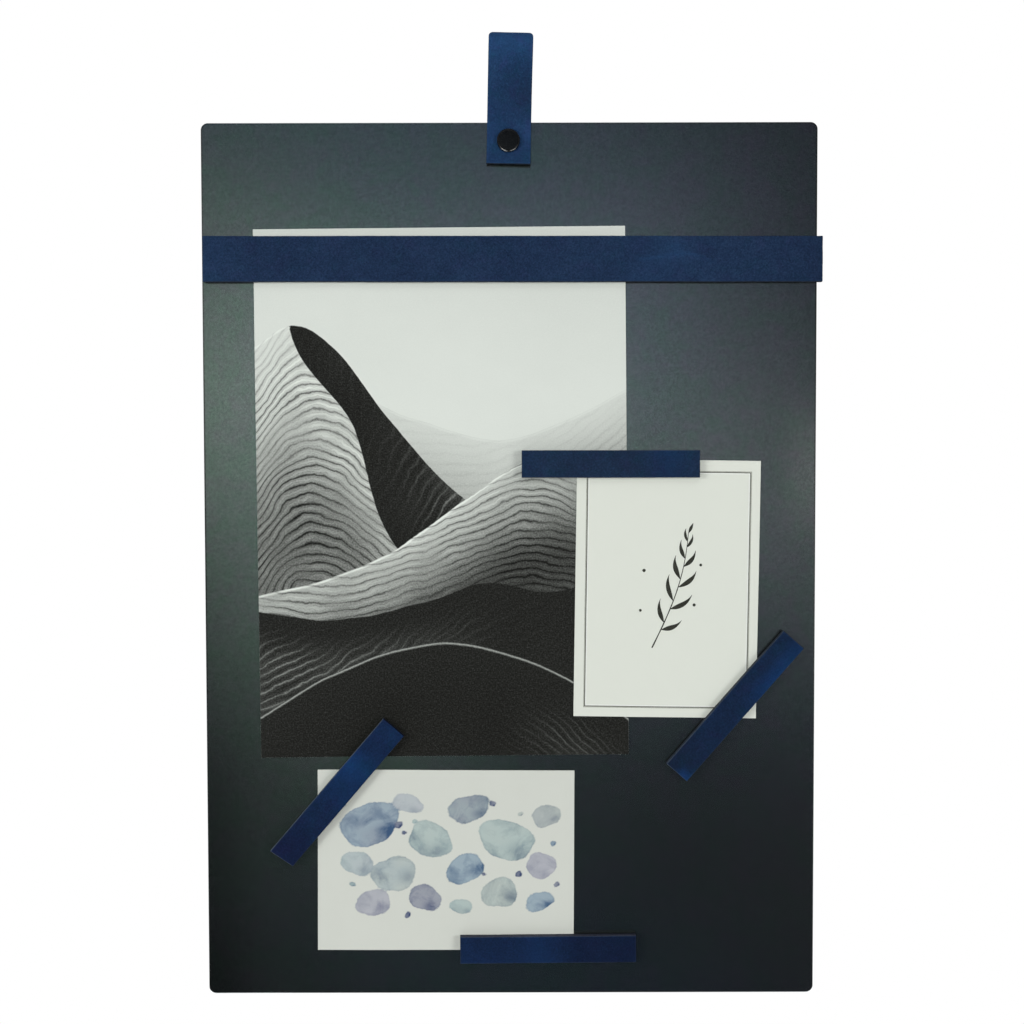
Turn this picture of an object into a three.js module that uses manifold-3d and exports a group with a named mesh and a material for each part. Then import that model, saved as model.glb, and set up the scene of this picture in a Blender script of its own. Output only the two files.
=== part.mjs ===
// Magnetic memo board: a thin steel plate that hangs from a folded leather strap,
// with leather-covered magnet strips that hold a print and two cards on it.
// Millimetres, +Z up. The front of the board faces -Y, +X is to the right of a viewer in front.
// The origin is the inner top of the strap's loop, where a rail or a hook carries the board.
import * as THREE from 'three';
import { mergeVertices } from 'three/addons/utils/BufferGeometryUtils.js';
import Module from 'manifold-3d';

// ---------- driving dimensions ----------
const PLATE_W = 350; // steel plate, width along X
const PLATE_H = 500; // height along Z
const PLATE_T = 1.5; // thickness along Y
const PLATE_CORNER_R = 4; // rounded corners of the outline
const PLATE_EDGE_BREAK = 0.25; // broken edge all round
const PLATE_HOLE_D = 5.6; // clearance hole for the post

const POST_X = -0.45; // post axis, from the plate's centre
const POST_Z = 239.2; // 10.8 mm under the plate's top edge
const POST_OUTER_D = 5.0; // hollow post through strap and plate
const POST_BORE_D = 3.6; // its blind bore
const CAP_D = 13.1; // flat cap in front
const CAP_T = 2.4;
const CAP_BEVEL = 0.45;
const SCREW_HEAD_D = 12.0; // slotted head at the back
const SCREW_HEAD_T = 1.4;
const SCREW_SHANK_D = 3.3;
const SCREW_SLOT_W = 1.2;
const SCREW_SLOT_DEPTH = 0.7;

const STRAP_W = 25.0; // hanger strap
const STRAP_T = 2.2; // leather thickness
const STRAP_TOP = 61.0; // outer top of the loop above the post
const STRAP_END = 12.9; // cut ends below the post
const STRAP_SHIFT = 0.2; // the post sits a little left of the strap's middle
const STRAP_TILT = 1.35; // degrees, the strap leans to the right
const STRAP_HOLE_D = 5.4;
const LOOP_INNER_R = 3.5; // inside of the fold
const LEG_GAP = 0.05; // between each leg and the plate

const BUMPER_D = 12; // rubber wall bumpers
const BUMPER_X = 158;
const BUMPER_Z = -234;

const FACE_T = 3.2; // leather of a magnet strip
const LINER_T = 1.0; // suede liner behind it
const GLUE = 0.05; // between layers
const MAGNET_D = 10; // disc magnets
const MAGNET_T = 2;
const POCKET_D = 10.4; // blind pockets in the leather
const POCKET_DEPTH = 2.2;

const PRINT_W = 211.6, PRINT_H = 302.3; // large print
const CARD_W = 105, CARD_H = 148; // both cards
const PRINT_T = 0.3;
const CARD_T = 0.35;
const PAPER_GAP = 0.1; // between the plate and paper, and between papers

// Places on the plate, from the plate's centre: x, z in mm and the turn in degrees, anticlockwise in front view.
const PRINT_AT = [-38.86, 39.72, 0.447];
const BORDERED_AT = [89.8, -15.28, -0.848];
const LANDSCAPE_AT = [-37.45, -172.16, -0.281];
const BAND_AT = [1.7, 172.55, -0.1];
const BAND_L = 351, BAND_W = 25.7;
const BAND_MAGNET_PITCH = 54;
const STRIP_L = 101.4, STRIP_W = 15.6;
const LEFT_L = 99.8; // the left strip is a little shorter
const STRIP_MAGNET_PITCH = 38;
const UPPER_AT = [57.4, 56.4, -0.05];
const RIGHT_AT = [128.55, -82.23, 48.8];
const LEFT_AT = [-99.3, -131.93, 49.45];
const LOWER_AT = [21.45, -223.1, 0.4];
const LEFT_SKEW = 2; // the lower end of the left strip is cut off square: its upper corner reaches this much further

const ROUND = 48; // segments of a full circle
const FREE_X = 78, FREE_X2 = 168, FREE_Z = -240, FREE_Z2 = -142; // free steel, lower right

// ---------- tools for shapes ----------
const wasm = await Module();
wasm.setup();
const rad = THREE.MathUtils.degToRad;

// Only positions, with shared vertices.
function weld(geometry) {
  const g = geometry.clone();
  for (const name of Object.keys(g.attributes)) if (name !== 'position') g.deleteAttribute(name);
  return mergeVertices(g, 1e-4);
}
function solid(geometry) {
  const g = weld(geometry);
  return new wasm.Manifold(new wasm.Mesh({
    numProp: 3,
    vertProperties: new Float32Array(g.attributes.position.array),
    triVerts: new Uint32Array(g.index.array),
  }));
}
function geometryOf(manifold) {
  const m = manifold.getMesh();
  const g = new THREE.BufferGeometry();
  g.setAttribute('position', new THREE.Float32BufferAttribute(m.vertProperties, 3));
  g.setIndex(Array.from(m.triVerts));
  const flat = g.toNonIndexed();
  flat.computeVertexNormals();
  return flat;
}
// A round bar along Y from y0 to y1.
function barY(d, y0, y1, x = 0, z = 0, segments = ROUND) {
  const g = new THREE.CylinderGeometry(d / 2, d / 2, y1 - y0, segments);
  g.translate(x, (y0 + y1) / 2, z);
  return g;
}
// An outline in X and Z, given as [x, z] pairs anticlockwise in front view, with its front at y0 and its back at y0 + t.
function slab(outline, y0, t) {
  const shape = new THREE.Shape(outline.map(([x, z]) => new THREE.Vector2(x, z)));
  const g = new THREE.ExtrudeGeometry(shape, { depth: t, bevelEnabled: false, steps: 1 });
  g.rotateX(Math.PI / 2); // x, z, depth: the front looks along -Y
  g.translate(0, y0 + t, 0);
  return g;
}
function rectangle(w, h) {
  return [[-w / 2, -h / 2], [w / 2, -h / 2], [w / 2, h / 2], [-w / 2, h / 2]];
}
// A turned body about the Y axis from [radius, y] pairs.
function turned(profile, segments = ROUND) {
  const g = new THREE.LatheGeometry(profile.map(([r, y]) => new THREE.Vector2(r, y)), segments);
  return g;
}

// ---------- materials ----------
const material = (color, roughness, metalness) => new THREE.MeshStandardMaterial({ color, roughness, metalness });
const steel = () => material(0x2b3438, 0.42, 0.75);
const blackMetal = () => material(0x14130f, 0.35, 0.6);
const strapLeather = () => material(0x24406f, 0.75, 0);
const bandLeather = () => material(0x1b2c54, 0.8, 0);
const stripLeather = () => material(0x162a5c, 0.7, 0);
const suede = () => material(0x232a3c, 0.95, 0);
const nickel = () => material(0xb9bcc0, 0.25, 1);
const rubber = () => material(0x1c1c1d, 0.9, 0);
const paper = () => material(0xd7ded5, 0.9, 0);

function named(name, geometry, mat) {
  const mesh = new THREE.Mesh(geometry, mat);
  mesh.name = name;
  return mesh;
}

// ---------- levels along Y ----------
// Measured from the plate's middle plane, the front is negative.
const plateFront = -PLATE_T / 2;
const plateBack = PLATE_T / 2;
const printBack = plateFront - PAPER_GAP;
const printFront = printBack - PRINT_T;
const landscapeFront = printBack - CARD_T;
const borderedBack = printFront - PAPER_GAP;
const borderedFront = borderedBack - CARD_T;
const overPrint = printFront - PAPER_GAP; // back of a strip that lies on the print
const overLandscape = landscapeFront - PAPER_GAP;
const overBordered = borderedFront - PAPER_GAP;
const legFront = plateFront - LEG_GAP - STRAP_T;
const legBack = plateBack + LEG_GAP + STRAP_T;
const wallPlane = legBack + LEG_GAP + SCREW_HEAD_T; // the back of the screw head and of the bumpers

// The loop: its inner back is flush with the screw head less the leather, so the strap touches the wall too.
const loopBack = wallPlane - STRAP_T; // inside of the back leg at the fold
const loopY = loopBack - LOOP_INNER_R; // middle of the fold
const innerTop = STRAP_TOP - STRAP_T; // above the post, along the strap

// ---------- where the plate's centre is ----------
const tilt = rad(STRAP_TILT);
const hangX = POST_X + STRAP_SHIFT * Math.cos(tilt) + innerTop * Math.sin(tilt);
const hangZ = POST_Z - STRAP_SHIFT * Math.sin(tilt) + innerTop * Math.cos(tilt);
const board = new THREE.Group();
board.name = 'memo_board';
const plateFrame = new THREE.Group(); // plate-centre coordinates inside the part's frame
plateFrame.position.set(-hangX, -loopY, -hangZ);
board.add(plateFrame);

// ---------- the plate ----------
// The rounded outline, inset by d, as [x, z] pairs anticlockwise in front view.
function plateOutline(d) {
  const w = PLATE_W / 2 - d, h = PLATE_H / 2 - d, r = PLATE_CORNER_R - d, n = 8;
  const points = [];
  for (const [cx, cz, a0] of [[w - r, -h + r, -90], [w - r, h - r, 0], [-w + r, h - r, 90], [-w + r, -h + r, 180]])
    for (let i = 0; i <= n; i++) {
      const a = rad(a0 + (90 * i) / n);
      points.push([cx + r * Math.cos(a), cz + r * Math.sin(a)]);
    }
  return points;
}
function plateGeometry() {
  const inset = plateOutline(PLATE_EDGE_BREAK), full = plateOutline(0);
  const hole = [];
  for (let i = 0; i < 32; i++) {
    const a = (-i * 2 * Math.PI) / 32;
    hole.push([POST_X + (PLATE_HOLE_D / 2) * Math.cos(a), POST_Z + (PLATE_HOLE_D / 2) * Math.sin(a)]);
  }
  const windowOutline = [[FREE_X, FREE_Z], [FREE_X, FREE_Z2], [FREE_X2, FREE_Z2], [FREE_X2, FREE_Z]];
  const v2 = (list) => list.map(([x, z]) => new THREE.Vector2(x, z));
  const positions = [];
  const tri = (a, b, c) => positions.push(...a, ...b, ...c);
  // Front: the plate around one rectangle of free steel, then that rectangle as two triangles.
  const around = [...inset, ...hole, ...windowOutline];
  for (const [a, b, c] of THREE.ShapeUtils.triangulateShape(v2(inset), [v2(hole), v2(windowOutline)])) {
    const p = (i) => [around[i][0], plateFront, around[i][1]];
    tri(p(a), p(b), p(c));
  }
  const q = windowOutline.map(([x, z]) => [x, plateFront, z]);
  tri(q[0], q[3], q[1]);
  tri(q[1], q[3], q[2]);
  // Back.
  const back = [...inset, ...hole];
  for (const [a, b, c] of THREE.ShapeUtils.triangulateShape(v2(inset), [v2(hole)])) {
    const p = (i) => [back[i][0], plateBack, back[i][1]];
    tri(p(a), p(c), p(b));
  }
  // Edge: broken corner, flat, broken corner.
  const ring = (outline, y) => outline.map(([x, z]) => [x, y, z]);
  const rings = [
    ring(inset, plateFront),
    ring(full, plateFront + PLATE_EDGE_BREAK),
    ring(full, plateBack - PLATE_EDGE_BREAK),
    ring(inset, plateBack),
  ];
  for (let k = 0; k < 3; k++)
    for (let i = 0; i < full.length; i++) {
      const j = (i + 1) % full.length;
      tri(rings[k][i], rings[k + 1][i], rings[k][j]);
      tri(rings[k][j], rings[k + 1][i], rings[k + 1][j]);
    }
  // The hole's wall.
  for (let i = 0; i < hole.length; i++) {
    const j = (i + 1) % hole.length;
    const [a, b] = [hole[i], hole[j]];
    tri([a[0], plateFront, a[1]], [a[0], plateBack, a[1]], [b[0], plateFront, b[1]]);
    tri([b[0], plateFront, b[1]], [a[0], plateBack, a[1]], [b[0], plateBack, b[1]]);
  }
  const g = new THREE.BufferGeometry();
  g.setAttribute('position', new THREE.Float32BufferAttribute(positions, 3));
  g.computeVertexNormals();
  return g;
}
plateFrame.add(named('board_plate', plateGeometry(), steel()));

for (const [side, x] of [['left', -BUMPER_X], ['right', BUMPER_X]]) {
  const h = wallPlane - plateBack - 0.05;
  const profile = [[0, 0], [BUMPER_D / 2, 0], [BUMPER_D / 2, h - 0.8], [BUMPER_D / 2 - 0.8, h], [0, h]];
  const bumper = named('wall_bumper_' + side, turned(profile, 32), rubber());
  bumper.position.set(x, plateBack + 0.05, BUMPER_Z);
  plateFrame.add(bumper);
}

// ---------- the hanger ----------
const hanger = new THREE.Group(); // post axis at its origin, Z along the strap
hanger.position.set(POST_X, 0, POST_Z);
hanger.rotation.y = tilt;
plateFrame.add(hanger);

// The strap's middle line, as [y, z], from the cut end in front over the fold to the cut end at the back.
function strapLine() {
  const half = STRAP_T / 2;
  const front = plateFront - LEG_GAP - half, back = plateBack + LEG_GAP + half;
  const foldR = LOOP_INNER_R + half, foldZ = innerTop - LOOP_INNER_R;
  const foldFront = loopY - foldR, foldBack = loopY + foldR;
  const v = (y, z) => new THREE.Vector2(y, z);
  const path = new THREE.CurvePath();
  path.add(new THREE.LineCurve(v(front, -STRAP_END), v(front, 9)));
  path.add(new THREE.CubicBezierCurve(v(front, 9), v(front, 26), v(foldFront, 30), v(foldFront, foldZ - 3)));
  path.add(new THREE.LineCurve(v(foldFront, foldZ - 3), v(foldFront, foldZ)));
  const fold = [];
  for (let i = 0; i <= 18; i++) {
    const a = Math.PI * (1 - i / 18);
    fold.push(v(loopY + foldR * Math.cos(a), foldZ + foldR * Math.sin(a)));
  }
  const upTo = path.curves[1].getSpacedPoints(14);
  const down = new THREE.CubicBezierCurve(v(foldBack, foldZ - 3), v(foldBack, 38), v(back, 30), v(back, 9)).getSpacedPoints(14);
  return [v(front, -STRAP_END), v(front, -4), v(front, 4), ...upTo, ...fold, ...down, v(back, 4), v(back, -4), v(back, -STRAP_END)];
}
function strapGeometry() {
  const line = strapLine(), n = line.length, half = STRAP_T / 2;
  const outer = [], inner = [];
  for (let i = 0; i < n; i++) {
    const a = line[Math.max(0, i - 1)], b = line[Math.min(n - 1, i + 1)];
    const t = b.clone().sub(a).normalize();
    const nrm = new THREE.Vector2(-t.y, t.x); // outside of the loop
    outer.push(line[i].clone().addScaledVector(nrm, half));
    inner.push(line[i].clone().addScaledVector(nrm, -half));
  }
  const shape = new THREE.Shape([...outer, ...inner.reverse()]);
  const g = new THREE.ExtrudeGeometry(shape, { depth: STRAP_W, bevelEnabled: false, steps: 1 });
  // shape x, y, depth become Y, Z, X
  g.applyMatrix4(new THREE.Matrix4().set(0, 0, 1, -STRAP_W / 2 + STRAP_SHIFT, 1, 0, 0, 0, 0, 1, 0, 0, 0, 0, 0, 1));
  const holes = solid(barY(STRAP_HOLE_D, -12, 12, 0, 0, 32));
  return geometryOf(solid(g).subtract(holes));
}
hanger.add(named('hanger_strap', strapGeometry(), strapLeather()));

{
  const back = legFront - LEG_GAP, front = back - CAP_T, r = CAP_D / 2;
  const tubeEnd = legBack - 0.3, boreFloor = plateFront - 1.6;
  const profile = [
    [0, front], [r - CAP_BEVEL, front], [r, front + CAP_BEVEL], [r, back - 0.2], [r - 0.2, back],
    [POST_OUTER_D / 2, back], [POST_OUTER_D / 2, tubeEnd], [POST_BORE_D / 2, tubeEnd], [POST_BORE_D / 2, boreFloor], [0, boreFloor],
  ];
  hanger.add(named('cap_post', turned(profile, ROUND), blackMetal()));
}
{
  const under = legBack + LEG_GAP, back = under + SCREW_HEAD_T, r = SCREW_HEAD_D / 2, tip = plateFront - 1.2;
  const profile = [
    [0, tip], [SCREW_SHANK_D / 2 - 0.4, tip], [SCREW_SHANK_D / 2, tip + 0.4], [SCREW_SHANK_D / 2, under],
    [r, under], [r, back - 0.35], [r - 0.35, back], [0, back],
  ];
  const slot = new THREE.BoxGeometry(SCREW_HEAD_D + 2, SCREW_SLOT_DEPTH * 2, SCREW_SLOT_W);
  slot.rotateY(rad(28));
  slot.translate(0, back, 0);
  hanger.add(named('back_screw', geometryOf(solid(turned(profile, ROUND)).subtract(solid(slot))), blackMetal()));
}

// ---------- papers ----------
function place(mesh, [x, z, turn]) {
  mesh.position.set(x, 0, z);
  mesh.rotation.y = -rad(turn);
  return mesh;
}
plateFrame.add(place(named('large_print', slab(rectangle(PRINT_W, PRINT_H), printFront, PRINT_T), paper()), PRINT_AT));
plateFrame.add(place(named('bordered_card', slab(rectangle(CARD_W, CARD_H), borderedFront, CARD_T), paper()), BORDERED_AT));
plateFrame.add(place(named('landscape_card', slab(rectangle(CARD_H, CARD_W), landscapeFront, CARD_T), paper()), LANDSCAPE_AT));

// ---------- magnet strips ----------
// outline: [x, z] pairs of the leather, back: the level of the liner's back, pitch: the spacing of count magnets
function magnetStrip(name, outline, back, count, pitch, at, leather) {
  const group = place(new THREE.Group(), at);
  const linerFront = back - LINER_T;
  const faceBack = linerFront - GLUE;
  const liner = slab(outline, linerFront, LINER_T);
  let face = solid(slab(outline, faceBack - FACE_T, FACE_T));
  const magnets = [];
  for (let i = 0; i < count; i++) {
    const x = (i - (count - 1) / 2) * pitch;
    face = face.subtract(solid(barY(POCKET_D, faceBack - POCKET_DEPTH, faceBack + 1, x, 0, 32)));
    magnets.push(named(`${name}_magnet_${i + 1}`, barY(MAGNET_D, faceBack - MAGNET_T - 0.05, faceBack - 0.05, x, 0, 32), nickel()));
  }
  group.add(named(name + '_leather', geometryOf(face), leather), named(name + '_liner', liner, suede()), ...magnets);
  plateFrame.add(group);
}
const skewed = [
  [-LEFT_L / 2 + LEFT_SKEW / 2, -STRIP_W / 2], [LEFT_L / 2, -STRIP_W / 2], [LEFT_L / 2, STRIP_W / 2], [-LEFT_L / 2 - LEFT_SKEW / 2, STRIP_W / 2],
];
magnetStrip('wide_band', rectangle(BAND_L, BAND_W), overPrint, 7, BAND_MAGNET_PITCH, BAND_AT, bandLeather());
magnetStrip('upper_strip', rectangle(STRIP_L, STRIP_W), overBordered, 3, STRIP_MAGNET_PITCH, UPPER_AT, stripLeather());
magnetStrip('right_strip', rectangle(STRIP_L, STRIP_W), overBordered, 3, STRIP_MAGNET_PITCH, RIGHT_AT, stripLeather());
magnetStrip('left_strip', skewed, overLandscape, 3, STRIP_MAGNET_PITCH, LEFT_AT, stripLeather());
magnetStrip('lower_strip', rectangle(STRIP_L, STRIP_W), overLandscape, 3, STRIP_MAGNET_PITCH, LOWER_AT, stripLeather());

export default board;
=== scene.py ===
import math

import bpy
import bmesh
import numpy as np
from mathutils import Matrix, Vector


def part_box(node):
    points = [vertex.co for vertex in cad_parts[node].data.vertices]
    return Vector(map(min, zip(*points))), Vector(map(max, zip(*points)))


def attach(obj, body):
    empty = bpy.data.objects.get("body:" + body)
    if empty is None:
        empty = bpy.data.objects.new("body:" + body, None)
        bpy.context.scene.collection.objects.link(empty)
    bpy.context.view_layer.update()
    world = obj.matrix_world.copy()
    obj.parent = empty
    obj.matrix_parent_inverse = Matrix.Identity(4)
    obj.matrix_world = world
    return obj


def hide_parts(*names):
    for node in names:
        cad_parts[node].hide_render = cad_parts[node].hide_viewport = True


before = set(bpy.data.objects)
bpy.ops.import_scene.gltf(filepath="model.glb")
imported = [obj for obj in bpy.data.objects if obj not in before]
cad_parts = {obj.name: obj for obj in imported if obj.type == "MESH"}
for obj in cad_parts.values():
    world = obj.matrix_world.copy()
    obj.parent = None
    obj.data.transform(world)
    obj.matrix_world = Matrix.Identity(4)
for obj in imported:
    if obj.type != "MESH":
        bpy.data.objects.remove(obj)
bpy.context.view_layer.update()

# Magnetic memo board. Metres in the part's own frame: the front faces -Y, +Z is up, and the origin is the
# inner top of the hanger strap's loop.
MM = 0.001


# ------------------------------------------------------------------ helpers
def centre(node):
    lo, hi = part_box(node)
    return (lo + hi) / 2


PLATE = centre("board_plate") / MM  # the plate's middle, in mm
PX, PY, PZ = PLATE


def fade(t):
    t = np.clip(t, 0, 1)
    return t * t * (3 - 2 * t)


def lattice_noise(x, y, seed, size):
    """Smooth value noise from -1 to 1 with features of the given size."""
    rng = np.random.default_rng(seed)
    table = rng.uniform(-1, 1, (128, 128))
    u, v = np.asarray(x, float) / size + 64, np.asarray(y, float) / size + 64
    i, j = np.floor(u).astype(int), np.floor(v).astype(int)
    a, b = fade(u - i), fade(v - j)
    i0, j0, i1, j1 = i % 128, j % 128, (i + 1) % 128, (j + 1) % 128
    return (table[i0, j0] * (1 - a) + table[i1, j0] * a) * (1 - b) + (
        table[i0, j1] * (1 - a) + table[i1, j1] * a
    ) * b


def fractal(x, y, seed, size, octaves=4, gain=0.5):
    total, amp, norm = 0, 1.0, 0
    for k in range(octaves):
        total = total + amp * lattice_noise(x, y, seed + 17 * k, size / 2**k)
        norm += amp
        amp *= gain
    return total / norm


def new_object(name, verts_mm, faces, materials, smooth=True, indices=None):
    mesh = bpy.data.meshes.new(name)
    mesh.from_pydata((np.asarray(verts_mm, float) * MM).tolist(), [], [list(map(int, f)) for f in faces])
    for m in materials:
        mesh.materials.append(m)
    mesh.polygons.foreach_set("use_smooth", [smooth] * len(mesh.polygons))
    if indices is not None:
        mesh.polygons.foreach_set("material_index", np.asarray(indices, np.int32))
    mesh.update()
    obj = bpy.data.objects.new(name, mesh)
    bpy.context.scene.collection.objects.link(obj)
    return obj


def vector_attribute(obj, name, values):
    a = obj.data.attributes.new(name, "FLOAT_VECTOR", "POINT")
    a.data.foreach_set("vector", np.asarray(values, np.float32).ravel())


def colour_attribute(obj, name, values):
    a = obj.data.attributes.new(name, "FLOAT_COLOR", "POINT")
    a.data.foreach_set("color", np.asarray(values, np.float32).ravel())


def box_lattice(us, vs, ws):
    """A closed box surface from three lists of grid lines. Returns points, faces, and for each face the side that it is on:
    0 front (low w), 1 back (high w), 2 low v, 3 high v, 4 low u, 5 high u. The front's outward normal is -w."""
    nu, nv, nw = len(us), len(vs), len(ws)
    ids = -np.ones((nu, nv, nw), int)
    on = np.zeros((nu, nv, nw), bool)
    on[0], on[-1], on[:, 0], on[:, -1], on[:, :, 0], on[:, :, -1] = True, True, True, True, True, True
    ids[on] = np.arange(on.sum())
    i, j, k = np.nonzero(on)
    pts = np.stack([np.asarray(us)[i], np.asarray(vs)[j], np.asarray(ws)[k]], 1)
    faces, side = [], []

    def quads(a, flip, tag):
        q = np.stack([a[:-1, :-1], a[1:, :-1], a[1:, 1:], a[:-1, 1:]], -1).reshape(-1, 4)
        faces.append(q[:, ::-1] if flip else q)
        side.append(np.full(len(q), tag))

    # u, v, w is mapped to x, z, y: a left-handed set, so the windings below face out after the mapping
    quads(ids[:, :, 0], False, 0)
    quads(ids[:, :, -1], True, 1)
    quads(ids[:, 0, :], True, 2)
    quads(ids[:, -1, :], False, 3)
    quads(ids[0], False, 4)
    quads(ids[-1], True, 5)
    return pts, np.concatenate(faces), np.concatenate(side)


def lines(length, step, r):
    """Grid lines from -length/2 to length/2, closer within r of the ends."""
    h = length / 2
    ends = [0, 0.12 * r, 0.35 * r, 0.65 * r, r, 1.5 * r]
    inner = np.linspace(-h + 2.2 * r, h - 2.2 * r, max(2, int(round((length - 4.4 * r) / step)) + 1))
    return np.array([-h + e for e in ends] + list(inner) + [h - e for e in reversed(ends)])


def depth_lines(t, r_front, r_back, n=3):
    front = [0, 0.15 * r_front, 0.45 * r_front, r_front]
    back = [t - r_back, t - 0.45 * r_back, t]
    middle = list(np.linspace(r_front, t - r_back, n + 2)[1:-1])
    return np.array(front + middle + back)


def round_box(p, size, r_front, r_back):
    """Rounds the edges of box points (u, v, w), with w from 0 in front to size[2] at the back."""
    out = p.copy()
    hu, hv, t = size[0] / 2, size[1] / 2, size[2]
    for is_front, r in ((True, r_front), (False, r_back)):
        pick = (p[:, 2] < t / 2) == is_front
        q = p[pick]
        lo = np.array([-hu + r, -hv + r, r])
        hi = np.array([hu - r, hv - r, t - r])
        c = np.clip(q, lo, hi)
        d = q - c
        n = np.linalg.norm(d, axis=1, keepdims=True)
        out[pick] = np.where(n > 1e-9, c + r * d / np.maximum(n, 1e-9), q)
    return out


def turn_into_frame(u, v, y, at):
    """Local u, v of a piece to the part's frame: at is x, z on the plate and the turn anticlockwise in front view."""
    a = math.radians(at[2])
    x = PX + at[0] + u * math.cos(a) - v * math.sin(a)
    z = PZ + at[1] + u * math.sin(a) + v * math.cos(a)
    return np.stack([x, y, z], 1)


# ------------------------------------------------------------------ node material helpers
class Nodes:
    def __init__(self, name):
        self.mat = bpy.data.materials.new(name)
        self.mat.use_nodes = True
        self.tree = self.mat.node_tree
        self.tree.nodes.clear()
        self.out = self.tree.nodes.new("ShaderNodeOutputMaterial")
        self.bsdf = self.tree.nodes.new("ShaderNodeBsdfPrincipled")
        self.link(self.bsdf.outputs[0], self.out.inputs[0])

    def node(self, kind, **inputs):
        n = self.tree.nodes.new(kind)
        for k, v in inputs.items():
            self.put(n, k, v)
        return n

    def put(self, n, key, value):
        socket = n.inputs[key] if not isinstance(key, int) else n.inputs[key]
        if hasattr(value, "is_output") or isinstance(value, bpy.types.NodeSocket):
            self.link(value, socket)
        else:
            socket.default_value = value

    def link(self, a, b):
        self.tree.links.new(a, b)

    def attribute(self, name):
        n = self.tree.nodes.new("ShaderNodeAttribute")
        n.attribute_type = "GEOMETRY"
        n.attribute_name = name
        return n

    def position(self):
        return self.tree.nodes.new("ShaderNodeTexCoord").outputs["Object"]

    def math(self, op, a, b=0.0, c=None, clamp=False):
        n = self.tree.nodes.new("ShaderNodeMath")
        n.operation = op
        n.use_clamp = clamp
        for i, v in enumerate((a, b, c)):
            if v is not None:
                self.put(n, i, v)
        return n.outputs[0]

    def scaled(self, vector, scale):
        n = self.tree.nodes.new("ShaderNodeMapping")
        self.link(vector, n.inputs["Vector"])
        n.inputs["Scale"].default_value = scale if hasattr(scale, "__len__") else (scale,) * 3
        return n.outputs[0]

    def noise(self, vector, size, detail=2.0, rough=0.5, distortion=0.0, offset=None, stretch=None):
        """Noise with features of about the given size in metres; returns the 0 to 1 value."""
        s = 1.0 / size
        m = self.tree.nodes.new("ShaderNodeMapping")
        self.link(vector, m.inputs["Vector"])
        k = stretch or (1, 1, 1)
        m.inputs["Scale"].default_value = (s * k[0], s * k[1], s * k[2])
        if offset:
            m.inputs["Location"].default_value = offset
        n = self.tree.nodes.new("ShaderNodeTexNoise")
        self.link(m.outputs[0], n.inputs["Vector"])
        n.inputs["Scale"].default_value = 1.0
        n.inputs["Detail"].default_value = detail
        n.inputs["Roughness"].default_value = rough
        n.inputs["Distortion"].default_value = distortion
        return n.outputs[0]

    def ramp(self, value, stops, interpolation="LINEAR"):
        n = self.tree.nodes.new("ShaderNodeValToRGB")
        self.link(value, n.inputs[0])
        n.color_ramp.interpolation = interpolation
        e = n.color_ramp.elements
        while len(e) < len(stops):
            e.new(0.5)
        for el, (pos, col) in zip(e, stops):
            el.position = pos
            el.color = (*col, 1.0) if hasattr(col, "__len__") else (col, col, col, 1.0)
        return n.outputs[0]

    def remap(self, value, a, b, c, d, smooth=False):
        n = self.tree.nodes.new("ShaderNodeMapRange")
        n.interpolation_type = "SMOOTHSTEP" if smooth else "LINEAR"
        self.link(value, n.inputs["Value"])
        for k, v in (("From Min", a), ("From Max", b), ("To Min", c), ("To Max", d)):
            n.inputs[k].default_value = v
        return n.outputs[0]

    def mix(self, factor, a, b, mode="MIX"):
        n = self.tree.nodes.new("ShaderNodeMix")
        n.data_type = "RGBA"
        n.blend_type = mode
        n.clamp_factor = True
        if isinstance(factor, bpy.types.NodeSocket):
            self.link(factor, n.inputs[0])
        else:
            n.inputs[0].default_value = factor
        for i, v in ((6, a), (7, b)):
            if isinstance(v, bpy.types.NodeSocket):
                self.link(v, n.inputs[i])
            else:
                n.inputs[i].default_value = (*v, 1.0) if len(v) == 3 else v
        return n.outputs[2]

    def separate(self, colour):
        n = self.tree.nodes.new("ShaderNodeSeparateColor")
        self.link(colour, n.inputs[0])
        return n.outputs

    def split(self, vector):
        n = self.tree.nodes.new("ShaderNodeSeparateXYZ")
        self.link(vector, n.inputs[0])
        return n.outputs

    def bump(self, height, distance, strength=1.0, normal=None):
        n = self.tree.nodes.new("ShaderNodeBump")
        n.inputs["Strength"].default_value = strength
        n.inputs["Distance"].default_value = distance
        self.link(height, n.inputs["Height"])
        if normal is not None:
            self.link(normal, n.inputs["Normal"])
        return n.outputs[0]

    def surface(self, **inputs):
        for k, v in inputs.items():
            self.put(self.bsdf, k.replace("_", " "), v)
        return self.mat


def srgb(r, g, b):
    f = lambda c: c / 12.92 if c <= 0.04045 else ((c + 0.055) / 1.055) ** 2.4
    return tuple(f(c / 255) for c in (r, g, b))


def times(c, k):
    return tuple(x * k for x in c)


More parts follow.
